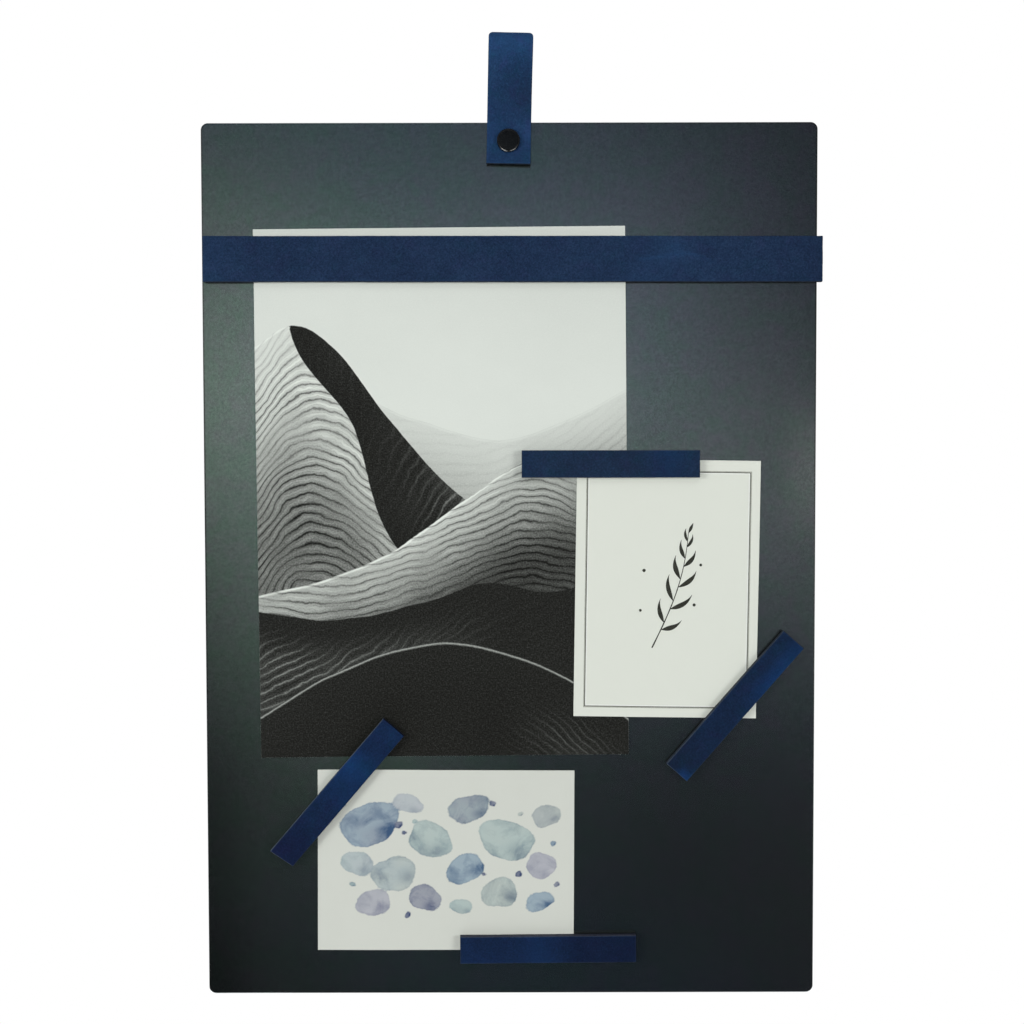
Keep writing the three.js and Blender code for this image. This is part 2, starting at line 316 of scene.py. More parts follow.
# ------------------------------------------------------------------ materials
def steel_material():
    n = Nodes("dark_satin_steel")
    p = n.position()
    x, y, z = n.split(p)[:3]
    across = n.remap(x, -0.176, 0.174, 0, 1)
    tint = n.mix(across, (0.1464, 0.1750, 0.1738), (0.1464, 0.1742, 0.1764))
    clouds = n.noise(p, 0.085, 5, 0.55, 0.6)
    tint = n.mix(n.remap(clouds, 0.3, 0.7, 0, 0.20), tint, (0.117, 0.138, 0.143))
    mottle = n.noise(p, 0.0035, 4, 0.65)
    tint = n.mix(n.remap(mottle, 0.25, 0.75, 0.0, 0.55), tint, (0.167, 0.196, 0.201))
    fine = n.noise(p, 0.0012, 3, 0.75)
    tint = n.mix(n.remap(fine, 0.25, 0.75, 0.0, 0.95), tint, n.mix(1.0, tint, (0.55, 0.55, 0.55), "MULTIPLY"))
    spots = n.noise(p, 0.006, 3, 0.65, offset=(2.1, 7.7, 4.9))
    tint = n.mix(n.remap(spots, 0.34, 0.50, 0.6, 0.0), tint, n.mix(1.0, tint, (1.07, 0.975, 1.04), "MULTIPLY"))
    tint = n.mix(n.remap(spots, 0.50, 0.66, 0.0, 0.6), tint, n.mix(1.0, tint, (0.94, 1.025, 0.965), "MULTIPLY"))
    # a faint drift between green and violet, as oiled steel shows
    hue = n.noise(p, 0.022, 4, 0.6, 0.5, offset=(5.3, 1.1, 2.7))
    warm = n.mix(1.0, tint, (1.05, 0.975, 1.03), "MULTIPLY")
    cool = n.mix(1.0, tint, (0.955, 1.02, 0.965), "MULTIPLY")
    tint = n.mix(n.remap(hue, 0.36, 0.64, 0, 1, True), warm, cool)
    # painted shade: darker towards the lower end of the left side; paler in one place by the right edge
    left = n.math("MULTIPLY", n.remap(x, -0.176, -0.138, 1, 0, True), n.remap(z, -0.35, -0.46, 0, 0.34, True))
    painted_shade_foot = n.math("MULTIPLY", n.remap(x, -0.176, -0.070, 1, 0, True), n.remap(z, -0.485, -0.548, 0, 0.20, True))
    tint = n.mix(n.math("ADD", left, painted_shade_foot), tint, (0.0, 0.0, 0.0))
    pale = n.math("MULTIPLY", n.remap(x, 0.146, 0.172, 0, 0.42, True), n.math("MULTIPLY", n.remap(z, -0.300, -0.248, 0, 1, True), n.remap(z, -0.190, -0.242, 0, 1, True)))
    tint = n.mix(pale, tint, n.mix(1.0, tint, (2.0, 1.9, 1.75), "MULTIPLY"))
    rough = n.math("ADD", n.remap(clouds, 0.3, 0.7, 0.195, 0.212), n.remap(mottle, 0.3, 0.7, -0.008, 0.008))
    sheet = n.noise(p, 0.16, 1, 0.4, offset=(3.1, 0, 1.7))
    b = n.bump(n.math("ADD", n.math("MULTIPLY", fine, 0.35), mottle), 0.00001, 0.4)
    b = n.bump(sheet, 0.0004, 0.3, b)
    return n.surface(Base_Color=tint, Metallic=0.914, Roughness=rough, Normal=b)


def leather_material(name, dark, mid, light, seed, grain=1.0, sheen=0.25, roughness=0.62, patches=None, mottle=1.0, specular=0.08, rim=(0.085, 0.115, 0.150), drift=1.0):
    """Nubuck. loc holds the flat place on the hide in metres, and rim how much painted highlight shows along the cut
    edge.
    """
    n = Nodes(name)
    loc = n.attribute("loc").outputs["Vector"]
    o = (seed * 1.37, seed * 0.71, seed * 2.13)
    broad = n.noise(loc, 0.030, 3, 0.5, 0.4, offset=o)
    nap = n.noise(loc, 0.0060, 5, 0.62, 0.2, offset=o)
    fine = n.noise(loc, 0.00110, 3, 0.65, offset=o)
    pores = n.noise(loc, 0.0019, 3, 0.7, offset=o)
    value = n.math("ADD", n.math("MULTIPLY", broad, 0.26 * mottle), n.math("MULTIPLY", nap, 0.26 * mottle))
    value = n.math("ADD", value, n.math("MULTIPLY", fine, 0.52 * grain))
    lo = 0.26 * mottle + 0.26 * grain
    value = n.remap(value, lo - 0.14, lo + 0.14, 0, 1)
    colour = n.ramp(value, [(0.0, dark), (0.5, mid), (1.0, light)])
    # lighter and darker reaches of the face, kept on the points as bright: painted sheen and painted shade of light on
    # the curves of the strips and the strap, plain lighter and darker places on the band
    br = n.attribute("bright").outputs["Fac"]
    colour = n.mix(n.remap(br, 0, 1, 0, 1), colour, n.mix(value, times(patches[0], 0.80), times(patches[0], 1.22)))
    colour = n.mix(n.remap(br, 0, -1, 0, 1), colour, n.mix(value, times(patches[1], 0.78), times(patches[1], 1.25)))
    # the dye drifts between teal and violet
    hue = n.noise(loc, 0.0095, 4, 0.6, 0.5, offset=(o[2], o[0], o[1]))
    hue2 = n.noise(loc, 0.0021, 2, 0.6, offset=(o[1], o[0], o[2]))
    colour = n.mix(n.remap(hue, 0.52, 0.68, 0, 0.75 * drift, True), colour, n.mix(1.0, colour, (0.80, 1.12, 0.97), "MULTIPLY"))
    colour = n.mix(n.remap(hue, 0.48, 0.32, 0, 0.75 * drift, True), colour, n.mix(1.0, colour, (1.28, 0.90, 1.04), "MULTIPLY"))
    colour = n.mix(n.remap(hue2, 0.40, 0.62, 0.7 * drift, 0), colour, n.mix(1.0, colour, (1.16, 0.95, 0.98), "MULTIPLY"))
    specks = n.remap(pores, 0.66, 0.78, 0, 0.35)
    colour = n.mix(specks, colour, times(dark, 0.55))
    dust = n.noise(loc, 0.0010, 2, 0.7, offset=(o[0] + 4, o[2], o[1]))
    colour = n.mix(n.remap(dust, 0.70, 0.78, 0, 0.45), colour, (0.045, 0.085, 0.150))
    scuff = n.noise(loc, 0.010, 6, 0.75, 1.2, offset=(o[1], o[2], o[0]), stretch=(0.35, 1, 1))
    colour = n.mix(n.remap(scuff, 0.62, 0.80, 0, 0.28), colour, light)
    # painted highlight: the face turns paler along its cut edges where light catches them, as strong as rim says per
    # side
    painted_edge_highlight = n.math("MULTIPLY", n.attribute("rim").outputs["Fac"], n.remap(n.noise(loc, 0.0016, 3, 0.65, offset=o), 0.32, 0.60, 0.45, 1.0))
    colour = n.mix(painted_edge_highlight, colour, rim)
    # the finest grain, on every tone alike
    grit = n.noise(loc, 0.0010, 3, 0.8, offset=(o[2] + 9, o[1], o[0]))
    colour = n.mix(n.remap(grit, 0.25, 0.50, 0.42 * grain, 0.0), colour, times(dark, 0.45))
    colour = n.mix(n.remap(grit, 0.50, 0.75, 0.0, 0.42 * grain), colour, times(light, 1.35))
    height = n.math("ADD", n.math("MULTIPLY", fine, 0.6), n.math("MULTIPLY", nap, 1.2))
    height = n.math("SUBTRACT", height, n.math("MULTIPLY", n.remap(pores, 0.6, 0.8, 0, 1), 0.35))
    b = n.bump(height, 0.00022 * grain, 0.55)
    rough = n.remap(nap, 0.3, 0.7, roughness - 0.06, roughness + 0.07)
    n.bsdf.inputs["Sheen Weight"].default_value = sheen * 0.35
    n.bsdf.inputs["Sheen Roughness"].default_value = 0.45
    n.bsdf.inputs["Sheen Tint"].default_value = (0.35, 0.55, 1.0, 1.0)
    n.bsdf.inputs["Specular IOR Level"].default_value = specular
    return n.surface(Base_Color=colour, Roughness=rough, Normal=b)


def cut_edge_material(name, core, dark, seed, streak=(0.12, 0.12, 1)):
    """The cut side of leather: dyed fibres that run with the hide. loc z is the depth."""
    n = Nodes(name)
    loc = n.attribute("loc").outputs["Vector"]
    o = (seed * 0.9, seed * 1.9, seed * 0.3)
    fibres = n.noise(loc, 0.00045, 4, 0.65, 0.5, offset=o, stretch=streak)
    lumps = n.noise(loc, 0.0016, 3, 0.6, offset=o)
    v = n.math("ADD", n.math("MULTIPLY", fibres, 0.6), n.math("MULTIPLY", lumps, 0.4))
    colour = n.ramp(v, [(0.30, dark), (0.55, core), (0.80, times(core, 1.5))])
    b = n.bump(v, 0.00030, 0.7)
    n.bsdf.inputs["Specular IOR Level"].default_value = 0.25
    return n.surface(Base_Color=colour, Roughness=0.85, Normal=b)


def suede_material():
    n = Nodes("suede_liner")
    loc = n.attribute("loc").outputs["Vector"]
    nap = n.noise(loc, 0.0022, 5, 0.7, 0.8)
    fine = n.noise(loc, 0.0005, 3, 0.6)
    v = n.math("ADD", n.math("MULTIPLY", nap, 0.55), n.math("MULTIPLY", fine, 0.45))
    colour = n.ramp(v, [(0.3, (0.010, 0.013, 0.024)), (0.7, (0.030, 0.038, 0.064))])
    b = n.bump(v, 0.00030, 0.6)
    n.bsdf.inputs["Sheen Weight"].default_value = 0.4
    n.bsdf.inputs["Sheen Roughness"].default_value = 0.6
    n.bsdf.inputs["Specular IOR Level"].default_value = 0.15
    return n.surface(Base_Color=colour, Roughness=0.95, Normal=b)


def black_metal_material(name="black_coated_metal", specular=0.14):
    n = Nodes(name)
    p = n.position()
    wear = n.noise(p, 0.004, 5, 0.6)
    fine = n.noise(p, 0.0006, 2, 0.5)
    colour = n.ramp(wear, [(0.35, (0.0030, 0.0033, 0.0038)), (0.75, (0.0065, 0.0072, 0.0080))])
    rough = n.math("ADD", n.remap(wear, 0.3, 0.7, 0.22, 0.30), n.remap(fine, 0.3, 0.7, -0.03, 0.03))
    b = n.bump(fine, 0.00003, 0.5)
    n.bsdf.inputs["Specular IOR Level"].default_value = specular
    return n.surface(Base_Color=colour, Metallic=0.0, Roughness=rough, Normal=b)


def rubber_material():
    n = Nodes("bumper_rubber")
    p = n.position()
    v = n.noise(p, 0.0015, 4, 0.6)
    colour = n.ramp(v, [(0.3, (0.010, 0.010, 0.011)), (0.8, (0.022, 0.022, 0.024))])
    b = n.bump(n.noise(p, 0.0005, 2, 0.5), 0.00005, 0.5)
    return n.surface(Base_Color=colour, Roughness=n.remap(v, 0.3, 0.7, 0.65, 0.8), Normal=b)


def nickel_material():
    n = Nodes("magnet_nickel")
    p = n.position()
    v = n.noise(p, 0.003, 4, 0.6)
    colour = n.ramp(v, [(0.3, (0.56, 0.55, 0.53)), (0.8, (0.68, 0.67, 0.65))])
    return n.surface(Base_Color=colour, Metallic=1.0, Roughness=n.remap(v, 0.3, 0.7, 0.18, 0.28))


WHITE = (0.790, 0.830, 0.765)  # the papers' white


def paper_fibre(n, p):
    return n.noise(p, 0.0011, 4, 0.6), n.noise(p, 0.012, 3, 0.5)


def print_material():
    """The print's front: five ridges of sand with their lit and shaded sides, in black and white.
    Each ridge keeps on the points: how far inside its outline, in mm, its tone, its ripple phase, and the ripple depth."""
    n = Nodes("print_face")
    loc = n.attribute("loc").outputs["Vector"]
    waver = n.noise(loc, 0.016, 3, 0.55)
    waver2 = n.noise(loc, 0.004, 3, 0.6)
    sky = n.attribute("sky").outputs["Fac"]
    tone = sky
    across = n.math("MULTIPLY", n.split(loc)[0], 1 / 0.021)
    drift = n.noise(loc, 0.034, 2, 0.5)
    for k in range(RIDGES):
        a = n.attribute(f"ridge{k}")
        e, t, ph = n.separate(a.outputs["Color"])[:3]
        depth = a.outputs["Alpha"]
        edge = n.math("ADD", e, n.math("MULTIPLY", n.math("SUBTRACT", waver2, 0.5), 0.7))
        mask = n.math("MULTIPLY_ADD", edge, 1.9, 0.5, clamp=True)
        phase = n.math("ADD", ph, n.math("MULTIPLY", waver, 1.3))
        # thin lines on a soft swell; a negative depth gives pale lines on a dark side
        wave = n.math("SINE", n.math("MULTIPLY", phase, 2 * math.pi))
        sharp = n.math("POWER", n.math("MULTIPLY_ADD", wave, 0.5, 0.5), 6.0)
        wave2 = n.math("SINE", n.math("MULTIPLY", n.math("ADD", phase, n.math("MULTIPLY", waver2, 0.35)), 6 * math.pi))
        sharp2 = n.math("POWER", n.math("MULTIPLY_ADD", wave2, 0.5, 0.5), 5.0)
        # broken streaks that run along the ripples
        lane = n.tree.nodes.new("ShaderNodeCombineXYZ")
        n.link(n.math("MULTIPLY", phase, 2.6), lane.inputs[0])
        n.link(across, lane.inputs[1])
        lane.inputs[2].default_value = 7.3 * k
        streak = n.tree.nodes.new("ShaderNodeTexNoise")
        n.link(lane.outputs[0], streak.inputs["Vector"])
        for key, v in (("Scale", 1.0), ("Detail", 4.0), ("Roughness", 0.7)):
            streak.inputs[key].default_value = v
        lines_ = n.math("ADD", n.math("MULTIPLY", wave, -0.22), n.math("MULTIPLY", n.math("SUBTRACT", sharp, 0.225), -1.35))
        lines_ = n.math("ADD", lines_, n.math("MULTIPLY", n.math("SUBTRACT", sharp2, 0.246), -0.42))
        lines_ = n.math("MULTIPLY", lines_, n.remap(drift, 0.35, 0.62, 0.45, 1.25, True))
        lines_ = n.math("ADD", lines_, n.math("MULTIPLY", n.math("SUBTRACT", streak.outputs[0], 0.5), 2.0))
        # a thin bright crest just inside the outline
        crest = n.math("SUBTRACT", 1.0, n.math("ABSOLUTE", n.math("MULTIPLY", n.math("SUBTRACT", edge, 0.8), 0.9)), clamp=True)
        t2 = n.math("MULTIPLY_ADD", lines_, depth, t)
        t2 = n.math("MULTIPLY_ADD", crest, CREST[k], t2)
        mixed = n.tree.nodes.new("ShaderNodeMix")
        mixed.data_type = "FLOAT"
        n.link(mask, mixed.inputs[0])
        n.link(tone, mixed.inputs[2])
        n.link(t2, mixed.inputs[3])
        tone = mixed.outputs[0]
    grain = n.noise(loc, 0.00085, 2, 0.8)
    coarse = n.noise(loc, 0.0017, 2, 0.7)
    g = n.math("ADD", n.math("MULTIPLY", n.math("SUBTRACT", grain, 0.5), 0.46), n.math("MULTIPLY", n.math("SUBTRACT", coarse, 0.5), 0.14))
    # the grain shows most in the dark and middle tones
    g = n.math("MULTIPLY", g, n.remap(tone, 0.50, 0.95, 1.0, 0.06))
    tone = n.math("ADD", tone, g, clamp=True)
    curve = n.math("POWER", tone, 2.2)
    colour = n.mix(curve, (0.0075, 0.0076, 0.0062), WHITE)
    fibre, cloud = paper_fibre(n, loc)
    colour = n.mix(n.remap(cloud, 0.3, 0.7, 0, 0.05), colour, n.mix(1.0, colour, (0.80, 0.81, 0.80), "MULTIPLY"))
    b = n.bump(fibre, 0.00004, 0.35)
    n.bsdf.inputs["Specular IOR Level"].default_value = 0.12
    return n.surface(Base_Color=colour, Roughness=0.7, Normal=b)


def card_stock_material(name, white=(0.737, 0.764, 0.684), rough=0.85):
    n = Nodes(name)
    loc = n.attribute("loc").outputs["Vector"]
    fibre, cloud = paper_fibre(n, loc)
    colour = n.mix(n.remap(cloud, 0.3, 0.7, 0, 0.08), white, times(white, 0.93))
    colour = n.mix(n.remap(fibre, 0.35, 0.7, 0, 0.06), colour, times(white, 0.86))
    b = n.bump(fibre, 0.00006, 0.4)
    n.bsdf.inputs["Specular IOR Level"].default_value = 0.25
    return n.surface(Base_Color=colour, Roughness=rough, Normal=b)


def wash_material():
    """The landscape card's front: pebbles in watercolour. The points keep how far inside the nearest pebble they are, in mm
    (pebble, red), how wet it was (green), and its wash (wash)."""
    n = Nodes("wash_face")
    loc = n.attribute("loc").outputs["Vector"]
    keep = n.separate(n.attribute("pebble").outputs["Color"])
    inside, wet, pool = keep[0], keep[1], keep[2]
    wash = n.attribute("wash").outputs["Color"]
    ragged = n.noise(loc, 0.0022, 4, 0.65)
    ragged2 = n.noise(loc, 0.0065, 3, 0.5)
    e = n.math("ADD", inside, n.math("MULTIPLY", n.math("SUBTRACT", ragged, 0.5), 1.5))
    e = n.math("ADD", e, n.math("MULTIPLY", n.math("SUBTRACT", ragged2, 0.5), 1.6))
    mask = n.math("MULTIPLY_ADD", e, 1.7, 0.5, clamp=True)
    # pigment gathers at the drying edge and in pools
    rim = n.remap(e, 0.0, 1.1, 1.0, 0.0, True)
    blooms = n.noise(loc, 0.016, 5, 0.58, 0.7)
    runs = n.noise(loc, 0.0075, 4, 0.6, 0.9)
    line = n.math("SUBTRACT", 1.0, n.math("ABSOLUTE", n.math("MULTIPLY", n.math("SUBTRACT", blooms, 0.50), 26.0)), clamp=True)
    depth = n.math("ADD", n.math("MULTIPLY", rim, 0.26), n.math("MULTIPLY", n.remap(blooms, 0.44, 0.66, 0.0, 1.0, True), 0.62))
    depth = n.math("ADD", depth, n.math("MULTIPLY", n.remap(runs, 0.5, 0.72, 0.0, 1.0, True), 0.22))
    depth = n.math("ADD", depth, n.math("MULTIPLY", line, 0.06))
    depth = n.math("MULTIPLY", depth, n.math("ADD", 0.22, n.math("MULTIPLY", wet, 1.1)))
    granules = n.noise(loc, 0.0009, 3, 0.6)
    depth = n.math("ADD", depth, n.math("MULTIPLY", n.math("SUBTRACT", granules, 0.5), 0.12))
    strong = n.mix(0.66, wash, (0.026, 0.050, 0.125))
    pale = n.mix(0.40, wash, (0.640, 0.665, 0.600))
    paint = n.mix(n.math("ADD", depth, n.math("MULTIPLY", pool, 0.80), clamp=True), pale, strong)
    fibre, cloud = paper_fibre(n, loc)
    sheet = n.mix(n.remap(cloud, 0.3, 0.7, 0, 0.3), (0.640, 0.660, 0.599), (0.620, 0.640, 0.576))
    colour = n.mix(mask, sheet, paint)
    b = n.bump(fibre, 0.00006, 0.4)
    n.bsdf.inputs["Specular IOR Level"].default_value = 0.25
    return n.surface(Base_Color=colour, Roughness=0.85, Normal=b)


def ink_material(name, colour, spread=(0.8, 1.7)):
    n = Nodes(name)
    p = n.position()
    v = n.noise(p, 0.0022, 4, 0.7)
    c = n.ramp(v, [(0.3, times(colour, spread[0])), (0.75, times(colour, spread[1]))])
    b = n.bump(n.noise(p, 0.0006, 2, 0.5), 0.00003, 0.3)
    n.bsdf.inputs["Specular IOR Level"].default_value = 0.25
    return n.surface(Base_Color=c, Roughness=0.8, Normal=b)


# ------------------------------------------------------------------ the plate
def build_plate(mat):
    w, h, r, t = 175.0, 250.0, 4.0, 1.5
    hole_x, hole_z, hole_r = -0.45, 239.2, 2.8
    n = 12

    def outline(d):
        pts = []
        for cx, cz, a0 in ((w - r, -h + r, -90), (w - r, h - r, 0), (-w + r, h - r, 90), (-w + r, -h + r, 180)):
            for i in range(n + 1):
                a = math.radians(a0 + 90 * i / n)
                pts.append((cx + (r - d) * math.cos(a), cz + (r - d) * math.sin(a)))
        return pts

    edge = 0.32
    rings = [(1.1, 0.0)] + [(edge * (1 - math.sin(a)), edge * (1 - math.cos(a))) for a in np.radians([0, 22.5, 45, 67.5, 90])]
    # from the front's support loop over the rounded edge to the back's
    profile = [(d, -t / 2 + y) for d, y in rings] + [(d, t / 2 - y) for d, y in reversed(rings)]
    bm = bmesh.new()
    loops = []
    for d, y in profile:
        loops.append([bm.verts.new(((PX + x) * MM, (PY + y) * MM, (PZ + z) * MM)) for x, z in outline(d)])
    m = len(loops[0])
    for a, b in zip(loops[:-1], loops[1:]):
        for i in range(m):
            j = (i + 1) % m
            bm.faces.new((a[i], b[i], b[j], a[j]))
    # the hole with its own rounded rims
    hrings = [(0.8, -t / 2)] + [(0.15 * (1 - math.sin(a)), -t / 2 + 0.15 * (1 - math.cos(a))) for a in np.radians([0, 45, 90])]
    hprofile = hrings + [(d, -y) for d, y in reversed(hrings)]
    hloops, hn = [], 40
    for d, y in hprofile:
        hloops.append([
            bm.verts.new(((PX + hole_x + (hole_r + d) * math.cos(q)) * MM, (PY + y) * MM, (PZ + hole_z + (hole_r + d) * math.sin(q)) * MM))
            for q in (2 * math.pi * i / hn for i in range(hn))
        ])
    for a, b in zip(hloops[:-1], hloops[1:]):
        for i in range(hn):
            j = (i + 1) % hn
            bm.faces.new((a[j], b[j], b[i], a[i]))
    bm.edges.ensure_lookup_table()

    def ring_edges(ring):
        return [bm.edges.get((ring[i], ring[(i + 1) % len(ring)])) for i in range(len(ring))]

    for k in (0, -1):
        bmesh.ops.triangle_fill(bm, use_beauty=True, use_dissolve=False, edges=ring_edges(loops[k]) + ring_edges(hloops[k]))
    bmesh.ops.recalc_face_normals(bm, faces=bm.faces)
    mesh = bpy.data.meshes.new("plate_sheet")
    bm.to_mesh(mesh)
    bm.free()
    mesh.materials.append(mat)
    mesh.polygons.foreach_set("use_smooth", [True] * len(mesh.polygons))
    obj = bpy.data.objects.new("plate_sheet", mesh)
    bpy.context.scene.collection.objects.link(obj)
    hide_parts("board_plate")
    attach(obj, "board")
    return obj


# ------------------------------------------------------------------ leather strips
def build_strip(name, body, length, width, at, back_mm, face_mat, edge_mat, liner_mat, liner_edge, seed, skew=0.0, bright=None, wander=0.10, fuzz=0.05, curl=None, rims=None, shaded=None):
    """The leather face and its liner. back_mm is not used.
    curl(a, b) is how far the strip stands off towards the front, in mm, a along it and b across it from -1 to 1.
    shaded is a dark copy of the cut edge, painted shade, for the ends and the low side."""
    lo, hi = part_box(name + "_leather")
    front_y, leather_back = lo.y / MM, hi.y / MM
    llo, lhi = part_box(name + "_liner")
    for part, y0, y1, mats, slot in (
        ("leather", front_y, leather_back, (face_mat, edge_mat) + ((shaded,) if shaded else ()), "band_leather" if name == "wide_band" else "strip_leather"),
        ("liner", llo.y / MM, lhi.y / MM, (liner_mat, liner_edge), "suede_liner"),
    ):
        t = y1 - y0
        face = part == "leather"
        rf, rb = (0.42, 0.10) if face else (0.08, 0.22)
        us = lines(length, 1.1 if length < 200 else 1.5, 0.45)
        vs = lines(width, 0.9 if width < 20 else 1.2, 0.45)
        ws = depth_lines(t, rf, rb, 3 if face else 1)
        p, faces, side = box_lattice(us, vs, ws)
        q = round_box(p, (length, width, t), rf, rb)
        u, v, w = q[:, 0].copy(), q[:, 1].copy(), q[:, 2].copy()
        hu, hv = length / 2, width / 2
        # hand-cut outline: each side wanders a little, and the fibres fray it
        su, sv = np.sign(u) * (abs(u) / hu) ** 6, np.sign(v) * (abs(v) / hv) ** 4
        wv = wander * fractal(u, np.sign(v) * 500, seed, 38, 3) + fuzz * fractal(u, w * 2.5 + np.sign(v) * 90, seed + 5, 1.3, 3, 0.7)
        wu = wander * fractal(v, np.sign(u) * 500, seed + 3, 12, 2) + fuzz * fractal(v, w * 2.5 + np.sign(u) * 90, seed + 6, 1.2, 3, 0.7)
        if not face:
            wv, wu = wv - 0.10, wu - 0.10
        v += abs(sv) * np.where(v > 0, 1, -1) * wv
        u += abs(su) * np.where(u > 0, 1, -1) * wu
        # skew of the low-u end
        if skew:
            u += np.where(u < 0, 1, 0) * (abs(u) / hu) ** 8 * (v / hv) * skew / 2
        on_front = fade(1 - w / (0.6 * t))
        if face:
            w -= on_front * (0.07 * fractal(u, v * 1.4, seed + 9, 17, 3) + 0.05 * (1 - (v / hv) ** 2) - 0.02)
            w += on_front * 0.035 * fractal(u, v, seed + 12, 2.2, 2)
        y = y0 + w - (curl(u / hu, v / hv) if curl else 0)
        verts = turn_into_frame(u, v, y, at)
        index = np.where(side < 2, 0, np.where((side == 3) | (len(mats) < 3), 1, 2))
        obj = new_object(f"{name}_{'hide' if face else 'backing'}", verts, faces, mats, True, index)
        vector_attribute(obj, "loc", q * MM)
        if face and bright is not None:
            b = bright(u / hu, v / hv) + 0.10 * fractal(u, v, seed + 21, 14, 3)
            a = obj.data.attributes.new("bright", "FLOAT", "POINT")
            a.data.foreach_set("value", np.clip(b, -1, 1).astype(np.float32))
            # how far the painted edge highlight reaches onto the face; rims gives its strength per side
            a = obj.data.attributes.new("rim", "FLOAT", "POINT")
            near = lambda d: 1 - fade((d - 0.20) / 0.45)
            low_v, high_v, low_u, high_u = rims(q[:, 0] / hu, q[:, 1] / hv) if rims else (0, 0, 0, 0)
            edge = np.maximum.reduce([near(hv + q[:, 1]) * low_v, near(hv - q[:, 1]) * high_v, near(hu + q[:, 0]) * low_u, near(hu - q[:, 0]) * high_u])
            a.data.foreach_set("value", np.clip(edge * (0.75 + 0.5 * fractal(u, v, seed + 31, 6, 3)), 0, 1).astype(np.float32))
        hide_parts(f"{name}_{part}")
        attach(obj, body)


# ------------------------------------------------------------------ the hanger
POST = (-0.45, 239.2)
TILT = math.radians(1.35)
STRAP_W, STRAP_T, STRAP_END, STRAP_TOP, STRAP_SHIFT = 25.0, 2.2, 13.4, 61.0, 0.2


def strap_path():
    """The strap's middle line as [y, z] from the front end over the fold to the back end, from the post, y from the plate's middle."""
    half, gap, plate = STRAP_T / 2, 0.05, 0.75
    front, back = -plate - gap - half, plate + gap + half
    inner_r = 3.5
    fold_r, inner_top = inner_r + half, STRAP_TOP - STRAP_T
    loop_y = (plate + gap + STRAP_T + gap + 1.4) - STRAP_T - inner_r
    fold_z = inner_top - inner_r
    ff, fb = loop_y - fold_r, loop_y + fold_r

    def bezier(p, n=40):
        t = np.linspace(0, 1, n)[:, None]
        p = [np.array(q, float) for q in p]
        return (1 - t) ** 3 * p[0] + 3 * (1 - t) ** 2 * t * p[1] + 3 * (1 - t) * t * t * p[2] + t**3 * p[3]

    parts = [
        np.array([(front, -STRAP_END), (front, 9)], float),
        bezier([(front, 9), (front, 26), (ff, 30), (ff, fold_z - 3)]),
        np.array([(ff, fold_z - 3), (ff, fold_z)], float),
        np.array([(loop_y + fold_r * math.cos(a), fold_z + fold_r * math.sin(a)) for a in np.linspace(math.pi, 0, 60)]),
        bezier([(fb, fold_z - 3), (fb, 38), (back, 30), (back, 9)]),
        np.array([(back, 9), (back, -STRAP_END)], float),
    ]
    line = np.concatenate(parts)
    keep = np.r_[True, np.linalg.norm(np.diff(line, axis=0), axis=1) > 1e-6]
    line = line[keep]
    s = np.r_[0, np.cumsum(np.linalg.norm(np.diff(line, axis=0), axis=1))]
    fine = np.arange(0, s[-1], 0.25)
    y, z = np.interp(fine, s, line[:, 0]), np.interp(fine, s, line[:, 1])
    k = np.ones(9) / 9  # eases the joins between the stretches
    for _ in range(2):
        y[4:-4] = np.convolve(y, k, "valid")
        z[4:-4] = np.convolve(z, k, "valid")
    return fine, y, z


